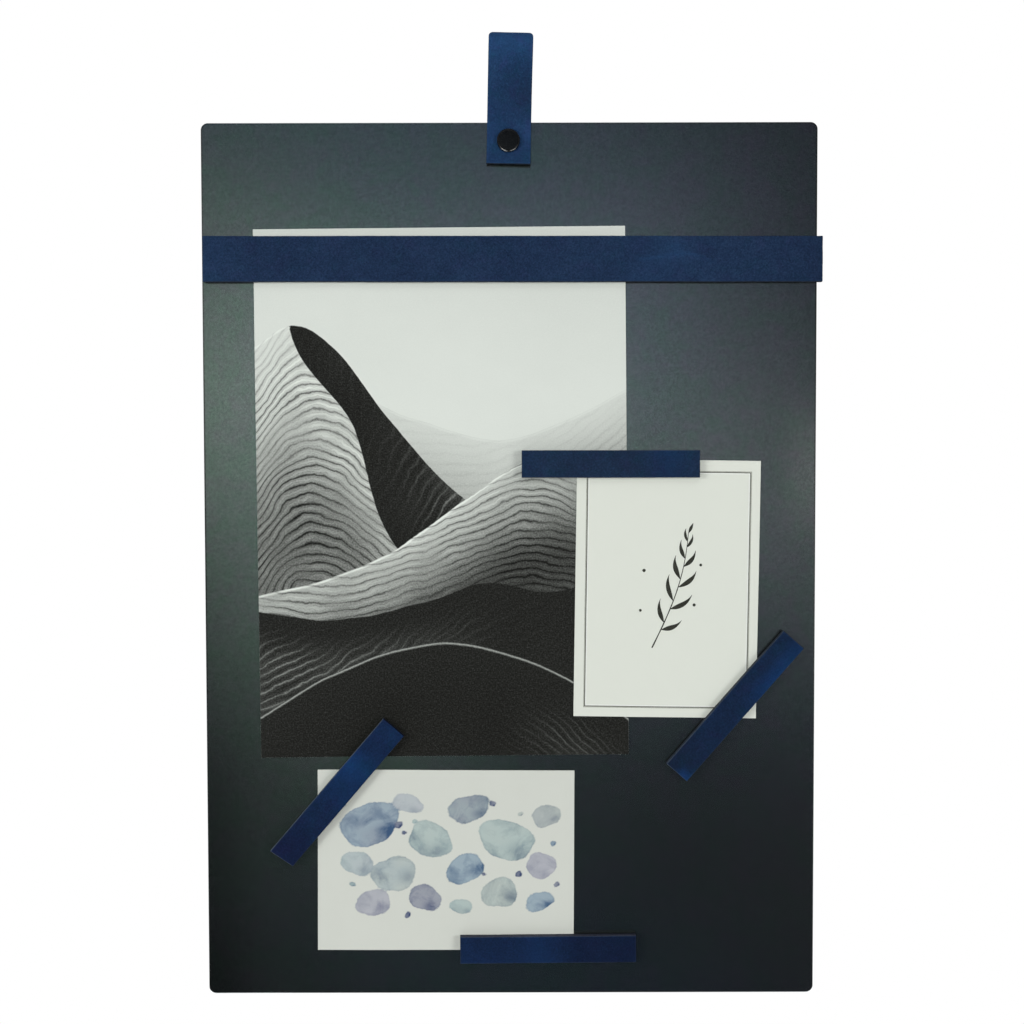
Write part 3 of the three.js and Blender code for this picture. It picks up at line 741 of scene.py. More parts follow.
def build_strap(face_mat, edge_mat, back_mat):
    s, py, pz = strap_path()
    total = s[-1]
    ty, tz = np.gradient(py, s), np.gradient(pz, s)
    norm = np.hypot(ty, tz)
    ny, nz = -tz / norm, ty / norm  # outward of the loop
    rf = 0.38
    us = lines(total, 0.95, 0.45)
    vs = lines(STRAP_W, 1.0, 0.45)
    ws = depth_lines(STRAP_T, rf, 0.25, 2)
    p, faces, side = box_lattice(us, vs, ws)
    q = round_box(p, (total, STRAP_W, STRAP_T), rf, 0.25)
    u, v, w = q[:, 0] + total / 2, q[:, 1].copy(), q[:, 2].copy()
    hv = STRAP_W / 2
    v += (abs(v) / hv) ** 4 * np.sign(v) * (0.16 * fractal(u, np.sign(v) * 300, 71, 34, 2) + 0.035 * fractal(u, w * 2 + np.sign(v) * 80, 72, 1.2, 3, 0.7))
    y, z = np.interp(u, s, py), np.interp(u, s, pz)
    oy, oz = np.interp(u, s, ny), np.interp(u, s, nz)
    m = np.hypot(oy, oz)
    oy, oz = oy / m, oz / m
    out = STRAP_T / 2 - w
    # the hide swells a little round the cap, and cups between its edges
    front_leg = fade((total / 2 - u) / 20)
    d = np.hypot(z, v + STRAP_SHIFT)
    outer = fade((out + STRAP_T / 2) / STRAP_T)
    out = out + outer * (front_leg * 0.22 * (1 - np.exp(-((d / 8.5) ** 2))) - 0.02)
    out = out + outer * 0.05 * fractal(u, v, 74, 9, 3)
    lift = front_leg * 3.0 * fade((-z - 3.5) / 10) * (0.8 + 0.2 * fade((v / hv + 1) / 2))
    y, z = y + oy * out - lift, z + oz * out
    # rounded shoulders of the fold
    top, big = z.max() - 0.02, 3.5
    drop = np.clip(top - z, 0, big)
    narrow = big - np.sqrt(np.maximum(big**2 - (big - drop) ** 2, 0))
    v = v * (hv - narrow) / hv
    v = v + STRAP_SHIFT
    x = v * math.cos(TILT) + z * math.sin(TILT)
    zz = -v * math.sin(TILT) + z * math.cos(TILT)
    verts = np.stack([PX + POST[0] + x, PY + y, PZ + POST[1] + zz], 1)
    # outside of the loop, cut sides, inside
    index = np.where(side == 0, 0, np.where(side == 1, 2, 1))
    # u runs up in front with v to the right, so the lattice faces are turned to look outwards
    obj = new_object("hanger_hide", verts, faces, (face_mat, edge_mat, back_mat), True, index)
    vector_attribute(obj, "loc", np.stack([u, q[:, 1], w], 1) * MM)
    # painted sheen and painted shade: brighter towards the fold and low at the left, darker in the middle, and darker
    # below the cap where its shadow falls
    b = 0.80 * fade((z - 36) / 22) - 0.52 * np.exp(-(((z - 24) / 15) ** 2)) * (0.75 + 0.6 * v / hv)
    b = b + 0.34 * np.exp(-(((z - 6) / 7) ** 2)) * (0.35 + 0.65 * (v / hv) ** 2) - 0.15 * fade((-z - 3) / 8) * fade((v / hv + 0.6) / 1.2)
    b = np.where(u < total / 2, b, 0)
    a = obj.data.attributes.new("bright", "FLOAT", "POINT")
    a.data.foreach_set("value", (b + 0.12 * fractal(u, q[:, 1], 79, 8, 3)).astype(np.float32))
    # painted highlight along the strap's cut edges and its low end
    a = obj.data.attributes.new("rim", "FLOAT", "POINT")
    near = lambda d: 1 - fade((d - 0.20) / 0.45)
    edge = np.maximum.reduce([near(hv + q[:, 1]) * 0.30, near(hv - q[:, 1]) * 0.10, near(u) * 0.45])
    a.data.foreach_set("value", np.clip(edge * (0.75 + 0.6 * fractal(u, v, 83, 6, 3)), 0, 1).astype(np.float32))
    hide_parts("hanger_strap")
    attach(obj, "hanger")
    return obj


def lathe(name, profile, at, segments, mats, node, body, flip=False):
    """A turned piece about an axis along Y. profile is (radius, y) in mm from the axis back to the axis."""
    bm = bmesh.new()
    rows = []
    for r, y in profile:
        if r < 1e-6:
            rows.append([bm.verts.new((at[0] * MM, y * MM, at[1] * MM))])
        else:
            rows.append([
                bm.verts.new(((at[0] + r * math.cos(q)) * MM, y * MM, (at[1] + r * math.sin(q)) * MM))
                for q in (2 * math.pi * i / segments for i in range(segments))
            ])
    for a, b in zip(rows[:-1], rows[1:]):
        for i in range(segments):
            j = (i + 1) % segments
            if len(a) == 1 and len(b) > 1:
                bm.faces.new((a[0], b[i], b[j]))
            elif len(b) == 1 and len(a) > 1:
                bm.faces.new((a[i], b[0], a[j]))
            elif len(a) > 1:
                bm.faces.new((a[i], b[i], b[j], a[j]))
    bmesh.ops.recalc_face_normals(bm, faces=bm.faces)
    mesh = bpy.data.meshes.new(name)
    bm.to_mesh(mesh)
    bm.free()
    for m in mats:
        mesh.materials.append(m)
    mesh.polygons.foreach_set("use_smooth", [True] * len(mesh.polygons))
    obj = bpy.data.objects.new(name, mesh)
    bpy.context.scene.collection.objects.link(obj)
    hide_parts(node)
    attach(obj, body)
    return obj


def rounded(points, radius, steps=4):
    """Rounds the corners of a (radius, y) profile. radius is one number per inner corner, 0 to keep it sharp."""
    out = [points[0]]
    for k in range(1, len(points) - 1):
        r = radius[k - 1]
        a, b, c = (np.array(q, float) for q in (points[k - 1], points[k], points[k + 1]))
        if r <= 0:
            out.append(tuple(b))
            continue
        da, dc = (a - b), (c - b)
        la, lc = np.linalg.norm(da), np.linalg.norm(dc)
        r = min(r, la * 0.49, lc * 0.49)
        p, q = b + da / la * r, b + dc / lc * r
        for i in range(steps + 1):
            t = i / steps
            out.append(tuple((1 - t) ** 2 * p + 2 * t * (1 - t) * b + t * t * q))
    out.append(points[-1])
    return out


# ------------------------------------------------------------------ papers
def build_sheet(name, node, body, w, h, at, step, front_mat, back_mat, lift, attributes=None):
    """A sheet of paper that lies on the board. lift(x, z) is how far it stands off its place, in mm."""
    lo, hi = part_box(node)
    y0, t = lo.y / MM, (hi.y - lo.y) / MM
    r = 0.08
    us, vs = lines(w, step, 0.3), lines(h, step, 0.3)
    p, faces, side = box_lattice(us, vs, np.array([0.0, t * 0.3, t * 0.7, t]))
    q = round_box(p, (w, h, t), r, r)
    local = turn_into_frame(q[:, 0], q[:, 1], y0 + q[:, 2], at)
    off = lift(local[:, 0] - PX, local[:, 2] - PZ, q[:, 0], q[:, 1])
    local[:, 1] -= off
    obj = new_object(name, local, faces, (front_mat, back_mat), True, (side != 0).astype(int))
    vector_attribute(obj, "loc", np.stack([q[:, 0], q[:, 1], q[:, 2]], 1) * MM)
    if attributes:
        attributes(obj, q[:, 0], q[:, 1])
    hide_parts(node)
    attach(obj, body)
    return obj


def segment_distance(x, z, a, b):
    ax, az, bx, bz = *a, *b
    dx, dz = bx - ax, bz - az
    t = np.clip(((x - ax) * dx + (z - az) * dz) / (dx * dx + dz * dz), 0, 1)
    return np.hypot(x - ax - t * dx, z - az - t * dz)


# Places on the plate: x, z in mm from its middle, and the turn.
PRINT_AT, BORDERED_AT, LANDSCAPE_AT = (-38.86, 39.72, 0.447), (89.8, -15.28, -0.848), (-37.45, -172.16, -0.281)
BAND_AT, UPPER_AT, RIGHT_AT = (1.7, 172.55, -0.1), (57.4, 56.4, -0.05), (128.55, -82.23, 48.8)
LEFT_AT, LOWER_AT = (-99.3, -131.93, 49.45), (21.45, -223.1, 0.4)


def ends(at, half):
    a = math.radians(at[2])
    return (at[0] - half * math.cos(a), at[1] - half * math.sin(a)), (at[0] + half * math.cos(a), at[1] + half * math.sin(a))


def held(x, z, strips, reach):
    """1 away from every strip, 0 under one."""
    keep = np.ones_like(x)
    for at, half, wide in strips:
        d = np.maximum(segment_distance(x, z, *ends(at, half)) - wide / 2 - 1.0, 0)
        keep = keep * (1 - np.exp(-((d / reach) ** 2)))
    return keep


def print_lift(x, z, u, v):
    free = held(x, z, [(BAND_AT, 175, 26), (UPPER_AT, 50, 16), (LEFT_AT, 50, 16)], 26)
    card = 1 - fade((x - 22) / 14) * fade((z + 100) / 12)  # stays down under the bordered card
    rim = np.maximum((abs(u) / 105) ** 5, (np.maximum(-v, 0) / 150) ** 5)
    wave = 0.12 * (1 + fractal(u, v, 31, 60, 2))
    return free * card * (0.55 * rim + wave * 0.5) + 0.10 * np.maximum(v / 150, 0) ** 6 * 0


def bordered_lift(x, z, u, v):
    free = held(x, z, [(UPPER_AT, 50, 16), (RIGHT_AT, 50, 16)], 22)
    over = 1 - fade((70 - x) / 6)  # the print under its left edge holds it up already
    rim = np.maximum((np.maximum(u, 0) / 52.5) ** 4, (abs(v) / 74) ** 5)
    return free * (0.50 * rim * over + 0.10)


def landscape_lift(x, z, u, v):
    free = held(x, z, [(LEFT_AT, 50, 16), (LOWER_AT, 50, 16)], 22)
    rim = np.maximum((abs(u) / 74) ** 5, (abs(v) / 52.5) ** 4)
    return free * (0.45 * rim + 0.06)


RIDGES = 6
CREST = [0.04, 0.08, 0.0, 0.22, 0.0, 0.58]


def print_fields(obj, u, v):
    """Sand ridges one behind the other. u and v are in mm from the print's middle."""
    sky = 0.955 - 0.035 * fade((v - 40) / 110) + 0.010 * fractal(u, v * 2.5, 40, 70, 3)
    a = obj.data.attributes.new("sky", "FLOAT", "POINT")
    a.data.foreach_set("value", sky.astype(np.float32))

    def outline(points, wobble, seed):
        xs, ys = zip(*points)
        from_points = np.interp(u, xs, ys)
        # a cubic through the points: ease between them
        i = np.clip(np.searchsorted(xs, u) - 1, 0, len(xs) - 2)
        xs, ys = np.array(xs, float), np.array(ys, float)
        t = np.clip((u - xs[i]) / (xs[i + 1] - xs[i]), 0, 1)
        slopes = np.gradient(ys, xs)
        hgap = xs[i + 1] - xs[i]
        h00, h10 = 2 * t**3 - 3 * t**2 + 1, t**3 - 2 * t**2 + t
        h01, h11 = -2 * t**3 + 3 * t**2, t**3 - t**2
        curve = h00 * ys[i] + h10 * hgap * slopes[i] + h01 * ys[i + 1] + h11 * hgap * slopes[i + 1]
        return np.where(np.isfinite(curve), curve, from_points) + wobble * fractal(u, 0 * u, seed, 36, 3)

    layers = []
    # 0: a far pale ridge
    h = outline([(-106, 52), (-60, 60), (-20, 44), (30, 30), (70, 40), (106, 58)], 2.0, 101)
    d = h - v
    layers.append((d, 0.90 - 0.16 * fade(d / 44) + 0.015 * fractal(u, v, 111, 30, 3), (d * 0.9 + 0.25 * u) / 5.2, 0.012 + 0.030 * fade((d - 6) / 30)))
    # 1: a tall dune at the left, its lit side
    h1 = outline([(-106, 84), (-86, 96), (-62, 84), (-30, 42), (6, 2), (50, -24), (106, -40)], 1.4, 102)
    d = h1 - v
    flow = (d * 0.80 + 0.42 * (u + 106) + 7 * fractal(u, v, 112, 46, 3)) / 4.4
    tone = 0.90 - 0.14 * fade(d / 50) - 0.34 * fade((d - 40) / 80) + 0.03 * fractal(u, v, 113, 26, 3)
    layers.append((d, tone, flow, 0.05 + 0.13 * fade(d / 36)))
    # 2: its shaded side, right of a crest that winds down
    crest = -86 + 0.22 * (96 - v) + 15 * np.sin((96 - v) / 30.0) * fade((96 - v) / 60) + 0.0028 * np.maximum(96 - v, 0) ** 2
    e = np.minimum(u - crest, h1 - v)
    depth = u - crest
    tone = 0.130 + 0.04 * fade(depth / 34) + 0.24 * fade((depth - 26) / 46) + 0.02 * fractal(u, v, 114, 26, 3)
    flow = (depth * 0.75 - v * 0.65 + 8 * fractal(u, v, 115, 46, 3)) / 4.8
    layers.append((e, tone, flow, -(0.015 + 0.115 * fade((depth - 10) / 40))))
    # 3: a long middle dune from the right
    h3 = outline([(-106, -58), (-70, -50), (-30, -34), (10, -6), (44, 16), (74, 22), (106, 14)], 1.6, 103)
    d = h3 - v
    flow = (d * 0.95 - 0.30 * u + 8 * fractal(u, v, 116, 50, 3)) / 4.2
    tone = 0.80 - 0.14 * fade(d / 22) - 0.42 * fade((d - 14) / 46) - 0.10 * fade((-u - 10) / 80) + 0.03 * fractal(u, v, 117, 24, 3)
    layers.append((d, tone, flow, 0.15 - 0.05 * fade((d - 20) / 50)))
    # 4: the hollow under it
    h4 = outline([(-106, -66), (-64, -72), (-20, -64), (24, -52), (60, -58), (106, -44)], 2.4, 104)
    d = h4 - v
    flow = (d * 0.8 + 0.45 * u + 9 * fractal(u, v, 118, 44, 3)) / 4.6
    glow = fade((d - 6) / 24) * fade((40 - u) / 80)
    tone = 0.135 + 0.14 * glow + 0.012 * fractal(u, v, 119, 30, 2)
    layers.append((d, tone, flow, -(0.008 + 0.13 * glow)))
    # 5: the dark foreground with one bright crest
    h5 = outline([(-106, -128), (-70, -106), (-30, -90), (8, -86), (48, -96), (80, -112), (106, -130)], 1.2, 105)
    d = h5 - v
    flow = (d * 0.9 - 0.42 * u + 7 * fractal(u, v, 120, 44, 3)) / 5.0
    glow = fade((u - 24) / 60) * fade((d - 12) / 30)
    tone = 0.135 - 0.020 * fade(d / 40) + 0.09 * glow + 0.010 * fractal(u, v, 121, 34, 2)
    layers.append((d, tone, flow, -(0.004 + 0.12 * glow)))
    for k, (e, t, ph, dp) in enumerate(layers):
        colour_attribute(obj, f"ridge{k}", np.stack([e, t, ph, dp], 1))


def wash_fields(obj, u, v):
    """Watercolour pebbles, u and v in mm from the card's middle."""
    teal, grey, blue, navy, lilac = srgb(140, 170, 172), srgb(170, 182, 176), srgb(92, 132, 162), srgb(52, 66, 116), srgb(168, 168, 184)
    stones = [  # x, z, half width, half height, turn, wash, wetness
        (-44, 21, 17, 12.0, 14, blue, 0.75), (-22, 33, 8.5, 5.5, -20, lilac, 0.3), (-51, -2, 9, 7, -12, teal, 0.45),
        (-30, -8, 12.5, 10, 24, grey, 0.5), (-9, 12, 13, 9.5, -16, teal, 0.6), (-42, -25, 10.5, 7, 8, lilac, 0.35),
        (13, 30, 12, 7.5, 10, navy, 0.85), (-12, -22, 9, 7.5, -28, navy, 0.9), (11, -5, 10.5, 8.5, 30, blue, 0.7),
        (35, 12, 15.5, 11.5, -10, teal, 0.55), (58, 26, 8.5, 6, 22, grey, 0.35), (31, -19, 11, 8, 12, grey, 0.55),
        (55, -3, 8.5, 7.5, -24, lilac, 0.4), (54, -24, 8, 5.5, 14, blue, 0.6), (9, -27, 6.0, 4.4, -8, teal, 0.5),
        # drops
        (-27.5, 20.5, 2.3, 1.8, 20, navy, 1.0), (-24.0, 16.0, 1.5, 1.2, 0, navy, 1.0), (-60, 32, 2.2, 1.6, 30, blue, 0.9), (27, 33, 2.0, 1.5, -20, navy, 1.0),
        (43, 27, 1.6, 1.3, 10, grey, 0.8), (-22, -32, 2.0, 1.5, 40, navy, 1.0), (-54, -14, 1.7, 1.4, -15, teal, 0.9), (22, -8, 1.5, 1.2, 0, navy, 0.9),
        (42, -8, 2.1, 1.6, 25, navy, 0.9), (62, 10, 1.5, 1.3, 0, blue, 0.9), (-18, 22.5, 1.6, 1.3, -10, teal, 0.8), (64, -14, 1.8, 1.4, 20, navy, 1.0),
    ]
    best = np.full(len(u), -1e9)
    colour = np.zeros((len(u), 3))
    wetness, pool = np.zeros(len(u)), np.zeros(len(u))
    for k, (cx, cz, a, b, turn, wash, wet) in enumerate(stones):
        c, s = math.cos(math.radians(turn)), math.sin(math.radians(turn))
        p, q = (u - cx) * c + (v - cz) * s, -(u - cx) * s + (v - cz) * c
        ang = np.arctan2(q / b, p / a)
        bulge = 1 + 0.06 * np.sin(2 * ang + k) + 0.05 * np.sin(3 * ang + 2.1 * k) + 0.025 * np.sin(5 * ang + 0.7 * k)
        rad = (np.abs(p / a) ** 2.25 + np.abs(q / b) ** 2.25) ** (1 / 2.25) / bulge
        inside = (1 - rad) * min(a, b)
        pick = inside > best
        best = np.where(pick, inside, best)
        mix = 0.5 + 0.5 * fractal(p, q, 200 + k, 11, 3)
        other = (navy, teal, lilac, blue, grey)[k % 5]
        tint = np.outer(1 - 0.55 * mix, wash) + np.outer(0.55 * mix, other)
        colour = np.where(pick[:, None], tint if a > 3 else np.outer(np.ones_like(mix), wash), colour)
        wetness = np.where(pick, wet * (0.75 + 0.5 * fractal(p, q, 300 + k, 9, 3)), wetness)
        corner = 0.9 * np.exp(-(((p / a - 0.55) ** 2 + (q / b + 0.5) ** 2) / 0.16)) * (0.35 + 0.65 * wet)
        pool = np.where(pick, corner, pool)
    colour_attribute(obj, "pebble", np.stack([best, wetness, pool, np.ones(len(u))], 1))
    colour_attribute(obj, "wash", np.c_[np.clip(colour, 0, 1), np.ones(len(u))])


def ink_ribbons(name, strokes, at, node, lift, mat, body, height=0.035, thick=0.02):
    """Thin closed films of ink on a card. strokes are lists of (u, v, half width) along each stroke, in mm."""
    lo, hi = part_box(node)
    surface = lo.y / MM
    verts, faces = [], []
    for stroke in strokes:
        pts = np.array(stroke, float)
        t = np.gradient(pts[:, :2], axis=0)
        t /= np.maximum(np.linalg.norm(t, axis=1, keepdims=True), 1e-9)
        nrm = np.stack([-t[:, 1], t[:, 0]], 1)
        left, right = pts[:, :2] + nrm * pts[:, 2:3], pts[:, :2] - nrm * pts[:, 2:3]
        m, base = len(pts), len(verts)
        for k in range(m):
            for side_pt in (left[k], right[k]):
                for y in (-height - thick, -height):
                    verts.append((side_pt[0], side_pt[1], y))
        for k in range(m - 1):
            a, b = base + 4 * k, base + 4 * (k + 1)
            # order per section: left front, left back, right front, right back
            faces += [(a, b, b + 2, a + 2), (a + 1, a + 3, b + 3, b + 1), (a, a + 1, b + 1, b), (a + 2, b + 2, b + 3, a + 3)]
        faces += [(base, base + 2, base + 3, base + 1)]
        e = base + 4 * (m - 1)
        faces += [(e, e + 1, e + 3, e + 2)]
    p = np.array(verts)
    local = turn_into_frame(p[:, 0], p[:, 1], surface + p[:, 2], at)
    local[:, 1] -= lift(local[:, 0] - PX, local[:, 2] - PZ, p[:, 0], p[:, 1])
    obj = new_object(name, local, faces, (mat,), False)
    bm = bmesh.new()
    bm.from_mesh(obj.data)
    bmesh.ops.recalc_face_normals(bm, faces=bm.faces)
    bm.to_mesh(obj.data)
    bm.free()
    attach(obj, body)
    return obj


def frame_strokes(u0, u1, v0, v1, half, step=1.5):
    def run(a, b):
        n = max(2, int(np.hypot(b[0] - a[0], b[1] - a[1]) / step))
        return [(a[0] + (b[0] - a[0]) * i / n, a[1] + (b[1] - a[1]) * i / n, half) for i in range(n + 1)]

    return [
        run((u0 - half, v0), (u1 + half, v0)), run((u0 - half, v1), (u1 + half, v1)),
        run((u0, v0 + half), (u0, v1 - half)), run((u1, v0 + half), (u1, v1 - half)),
    ]


def sprig_strokes():
    """A brush-drawn sprig: a stem with leaves in pairs, each a stroke that swells and thins."""
    strokes = []

    def stem(t):
        return -8 + 17 * t + 5.5 * math.sin(2.6 * t), -34 + 66 * t

    strokes.append([(*stem(i / 40), 0.16 + 0.26 * (1 - i / 40) * (0.8 + 0.2 * math.sin(i))) for i in range(41)])
    leaves = [  # place on the stem, side, length, spread in degrees, fullness
        (0.16, -1, 13, 58, 1.30), (0.22, 1, 14, 50, 1.25), (0.34, -1, 15, 52, 1.45), (0.41, 1, 15.5, 46, 1.35), (0.53, -1, 14, 48, 1.35),
        (0.60, 1, 14, 43, 1.30), (0.71, -1, 11.5, 42, 1.15), (0.78, 1, 11.0, 38, 1.05), (0.88, -1, 8.0, 34, 0.85), (0.93, 1, 7.5, 30, 0.8),
    ]
    for k, (t, sgn, ln, spread, full) in enumerate(leaves):
        x0, z0 = stem(t)
        x1, z1 = stem(min(1, t + 0.02))
        along = math.atan2(z1 - z0, x1 - x0)
        a = along + sgn * math.radians(spread)
        pts = []
        for i in range(19):
            q = i / 18
            bend = -sgn * 0.30 * q * q
            x = x0 + ln * q * math.cos(a + bend)
            z = z0 + ln * q * math.sin(a + bend)
            width = 0.10 + full * (math.sin(math.pi * min(1, q * 1.02) ** 0.85) ** 1.25) * (0.93 + 0.07 * math.sin(5 * q + k))
            pts.append((x, z, max(0.05, width)))
        strokes.append(pts)
    x1, z1 = stem(1.0)
    strokes.append([(x1 + 6.5 * q * math.cos(1.15), z1 + 6.5 * q * math.sin(1.15), 0.12 + 0.75 * math.sin(math.pi * q) ** 1.3) for q in np.linspace(0, 1, 15)])
    # a few berries beside it
    for bx, bz, r in ((-13.2, 10.5, 0.95), (15.8, -9.0, 0.9), (19.2, 14.0, 0.8), (-15.0, -12.5, 0.8)):
        strokes.append([(bx - r + 2 * r * q, bz, max(0.04, r * math.sqrt(max(0, 1 - (2 * q - 1) ** 2)))) for q in np.linspace(0, 1, 13)])
    return strokes


# ------------------------------------------------------------------ build everything
steel = steel_material()
black = black_metal_material()
black_rim = black_metal_material("black_cap_rim", 0.45)
rubber = rubber_material()
nickel = nickel_material()
suede = suede_material()
suede_edge = cut_edge_material("suede_edge", (0.020, 0.024, 0.036), (0.008, 0.009, 0.014), 4)
strap_face = leather_material("strap_nubuck", (0.0074, 0.0250, 0.067), (0.0110, 0.0358, 0.0935), (0.0178, 0.0530, 0.126), 3, 0.9, 0.22, 0.66,
                              patches=((0.0158, 0.0590, 0.150), (0.0084, 0.0215, 0.0500)), rim=(0.028, 0.078, 0.185))
strap_edge = cut_edge_material("strap_cut_edge", (0.012, 0.022, 0.046), (0.004, 0.008, 0.016), 2)
strap_back = leather_material("strap_flesh_side", (0.010, 0.020, 0.044), (0.018, 0.034, 0.070), (0.034, 0.058, 0.110), 8, 1.6, 0.35, 0.85,
                              patches=((0.018, 0.034, 0.070), (0.018, 0.034, 0.070)))
band_face = leather_material("band_nubuck", (0.0070, 0.0176, 0.0450), (0.0112, 0.0268, 0.0650), (0.0185, 0.0412, 0.0915), 5, 1.1, 0.25, 0.72,
                             patches=((0.0135, 0.0410, 0.1000), (0.0084, 0.0185, 0.0460)), mottle=0.85, rim=(0.020, 0.040, 0.075), drift=0.55)
band_edge = cut_edge_material("band_cut_edge", (0.010, 0.018, 0.040), (0.004, 0.007, 0.015), 6)
strip_edge = cut_edge_material("strip_cut_edge", (0.052, 0.056, 0.082), (0.014, 0.016, 0.027), 7)
# painted light and shade on the strips' cut sides: a darker copy for the right strip's shaded upper side, a paler copy
# for the left strip's lit upper side, and a dark copy for the ends and low sides
painted_shade_right_edge = cut_edge_material("right_strip_painted_shade_cut_edge", (0.040, 0.052, 0.072), (0.010, 0.014, 0.022), 10)
painted_light_left_edge = cut_edge_material("left_strip_painted_light_cut_edge", (0.100, 0.124, 0.152), (0.026, 0.034, 0.050), 9)
painted_shade_edge = cut_edge_material("painted_shade_cut_edge", (0.0075, 0.0120, 0.0280), (0.0030, 0.0045, 0.0100), 12)
print_face = print_material()
print_back = card_stock_material("print_stock", WHITE)
card_stock = card_stock_material("card_stock")
wash_face = wash_material()
ink = ink_material("olive_black_ink", (0.030, 0.031, 0.024))
ink_pale = ink_material("olive_grey_ink", (0.20, 0.205, 0.17))


def strip_leather(name, seed, mid, bright, dark, drift=1.0):
    return leather_material(name, times(mid, 0.68), mid, times(mid, 1.46), seed, 1.0, 0.30, 0.50, patches=(bright, dark), mottle=0.9, drift=drift)


upper_face = strip_leather("upper_strip_nubuck", 21, (0.0098, 0.0234, 0.0525), (0.0066, 0.0276, 0.0800), (0.0090, 0.0200, 0.0450))
right_face = strip_leather("right_strip_nubuck", 23, (0.0060, 0.0172, 0.0465), (0.0056, 0.0300, 0.0980), (0.0056, 0.0105, 0.0215))
left_face = strip_leather("left_strip_nubuck", 25, (0.0050, 0.0158, 0.0480), (0.0060, 0.0330, 0.1100), (0.0046, 0.0082, 0.0335))
lower_face = strip_leather("lower_strip_nubuck", 27, (0.0050, 0.0155, 0.0490), (0.0056, 0.0225, 0.0730), (0.0042, 0.0100, 0.0320), 0.55)


def bump(x, at, spread):
    return np.exp(-(((x - at) / spread) ** 2))


build_plate(steel)

def band_bright(a, b):
    """Lighter and darker places of the wide band, a along it and b across it, both from -1 to 1."""
    x, z = a * 175.5, b * 12.85
    b0 = 0.30 * bump(a, 0.46, 0.13) + 0.15 * bump(a, -0.97, 0.05) - 0.55 * fade((a - 0.76) / 0.24) - 0.22 * bump(a, -0.38, 0.2)
    # one long scuff right of the print
    way = np.interp(x, [68, 80, 92, 100, 108, 116], [-0.8, 0.8, 2.6, 3.2, 0.8, -3.0])
    scuff = bump(z, way, 0.9) * fade((x - 66) / 6) * fade((120 - x) / 12)
    below = np.where(z < way, np.exp(-((z - way) / 5.5) ** 2), 0) * fade((x - 70) / 8) * fade((118 - x) / 14)
    spot = np.exp(-(((x - 93) / 5.5) ** 2 + ((z - 6.5) / 3.8) ** 2))
    return b0 + 0.50 * scuff + 0.22 * below + 0.50 * spot


# rims gives the painted highlight along each piece's cut edges; on the strips, bright is painted sheen and painted
# shade of light on their curves
build_strip("wide_band", "wide_band", 351, 25.7, BAND_AT, 0, band_face, band_edge, suede, suede_edge, 11, wander=0.16, fuzz=0.10, bright=band_bright,
            rims=lambda a, b: (0.5, 0.15, 0.25, 0.1))
build_strip("upper_strip", "upper_strip", 101.4, 15.6, UPPER_AT, 0, upper_face, strip_edge, suede, suede_edge, 22,
            bright=lambda a, b: 0.62 * bump(a, 0.66, 0.24) * (1 + 0.25 * b) - 0.25 * bump(a, -0.1, 0.3) + 0.2 * fade((-a - 0.8) * 5),
            rims=lambda a, b: (0.1, 0.25, 0.1, 0.2))
build_strip("right_strip", "right_strip", 101.4, 15.6, RIGHT_AT, 0, right_face, painted_shade_right_edge, suede, suede_edge, 24, shaded=painted_shade_edge,
            bright=lambda a, b: 0.95 * bump(a, 0.52, 0.34) * fade(0.35 - b * 0.75) + 0.35 * bump(a, 0.95, 0.2) * fade(0.6 - b) - 0.62 * fade((-a - 0.25) * 1.5) * (0.75 + 0.25 * b)
            + 1.25 * fade((-a - 0.82) * 6) * fade(0.5 - b * 1.2),
            rims=lambda a, b: (0.05, 0.35 + 0.4 * fade(-a * 1.5 + 0.2), 0.3, 0.2))
build_strip("left_strip", "left_strip", 99.8, 15.6, LEFT_AT, 0, left_face, painted_light_left_edge, suede, suede_edge, 26, skew=-2.0,
            curl=lambda a, b: 0.10 * (1 - b) + 0.25 * fade((-b - 0.30) / 0.70), shaded=painted_shade_edge,
            bright=lambda a, b: 0.95 * bump(a, 0.34, 0.20) * (0.85 + 0.25 * b) + 0.30 * bump(a, 0.0, 0.16) - 0.72 * fade((-a - 0.25) * 1.4) + 0.10 * bump(a, 0.9, 0.2),
            rims=lambda a, b: (0.0, 0.55 + 0.25 * fade(-a), 0.2, 0.0))
build_strip("lower_strip", "lower_strip", 101.4, 15.6, LOWER_AT, 0, lower_face, strip_edge, suede, suede_edge, 28, shaded=painted_shade_edge,
            bright=lambda a, b: 0.30 * bump(a, -0.95, 0.12) * (1 - 0.4 * b) + 0.75 * bump(a, -0.12, 0.22) - 0.95 * fade((a - 0.02) * 2.2) + 0.25 * bump(a, -0.75, 0.2) * (0.3 - b),
            rims=lambda a, b: (0.06, 0.45, 0.15, 0.1))

build_strap(strap_face, strap_edge, strap_back)

# The flat cap and its hollow post, and the slotted screw behind.
cap_lo, cap_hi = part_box("cap_post")
cx, cz = (cap_lo.x + cap_hi.x) / 2 / MM, (cap_lo.z + cap_hi.z) / 2 / MM
y0, y1 = cap_lo.y / MM, cap_hi.y / MM
cap_profile = rounded(
    [(0, y0), (5.70, y0 + 0.03), (6.55, y0 + 0.75), (6.55, y0 + 2.4), (2.5, y0 + 2.4), (2.5, y1), (1.8, y1), (1.8, y0 + 3.1), (0, y0 + 3.1)],
    [0.5, 0.5, 0.2, 0.1, 0.1, 0.1, 0.1], 5)
cap = lathe("cap_and_post", cap_profile, (cx, cz), 96, (black, black_rim), "cap_post", "hanger")
for f in cap.data.polygons:  # the turned bevel is smoother than the face
    c = f.center / MM
    if math.hypot(c.x - cx, c.z - cz) > 5.75 and c.y < y0 + 2.3:
        f.material_index = 1

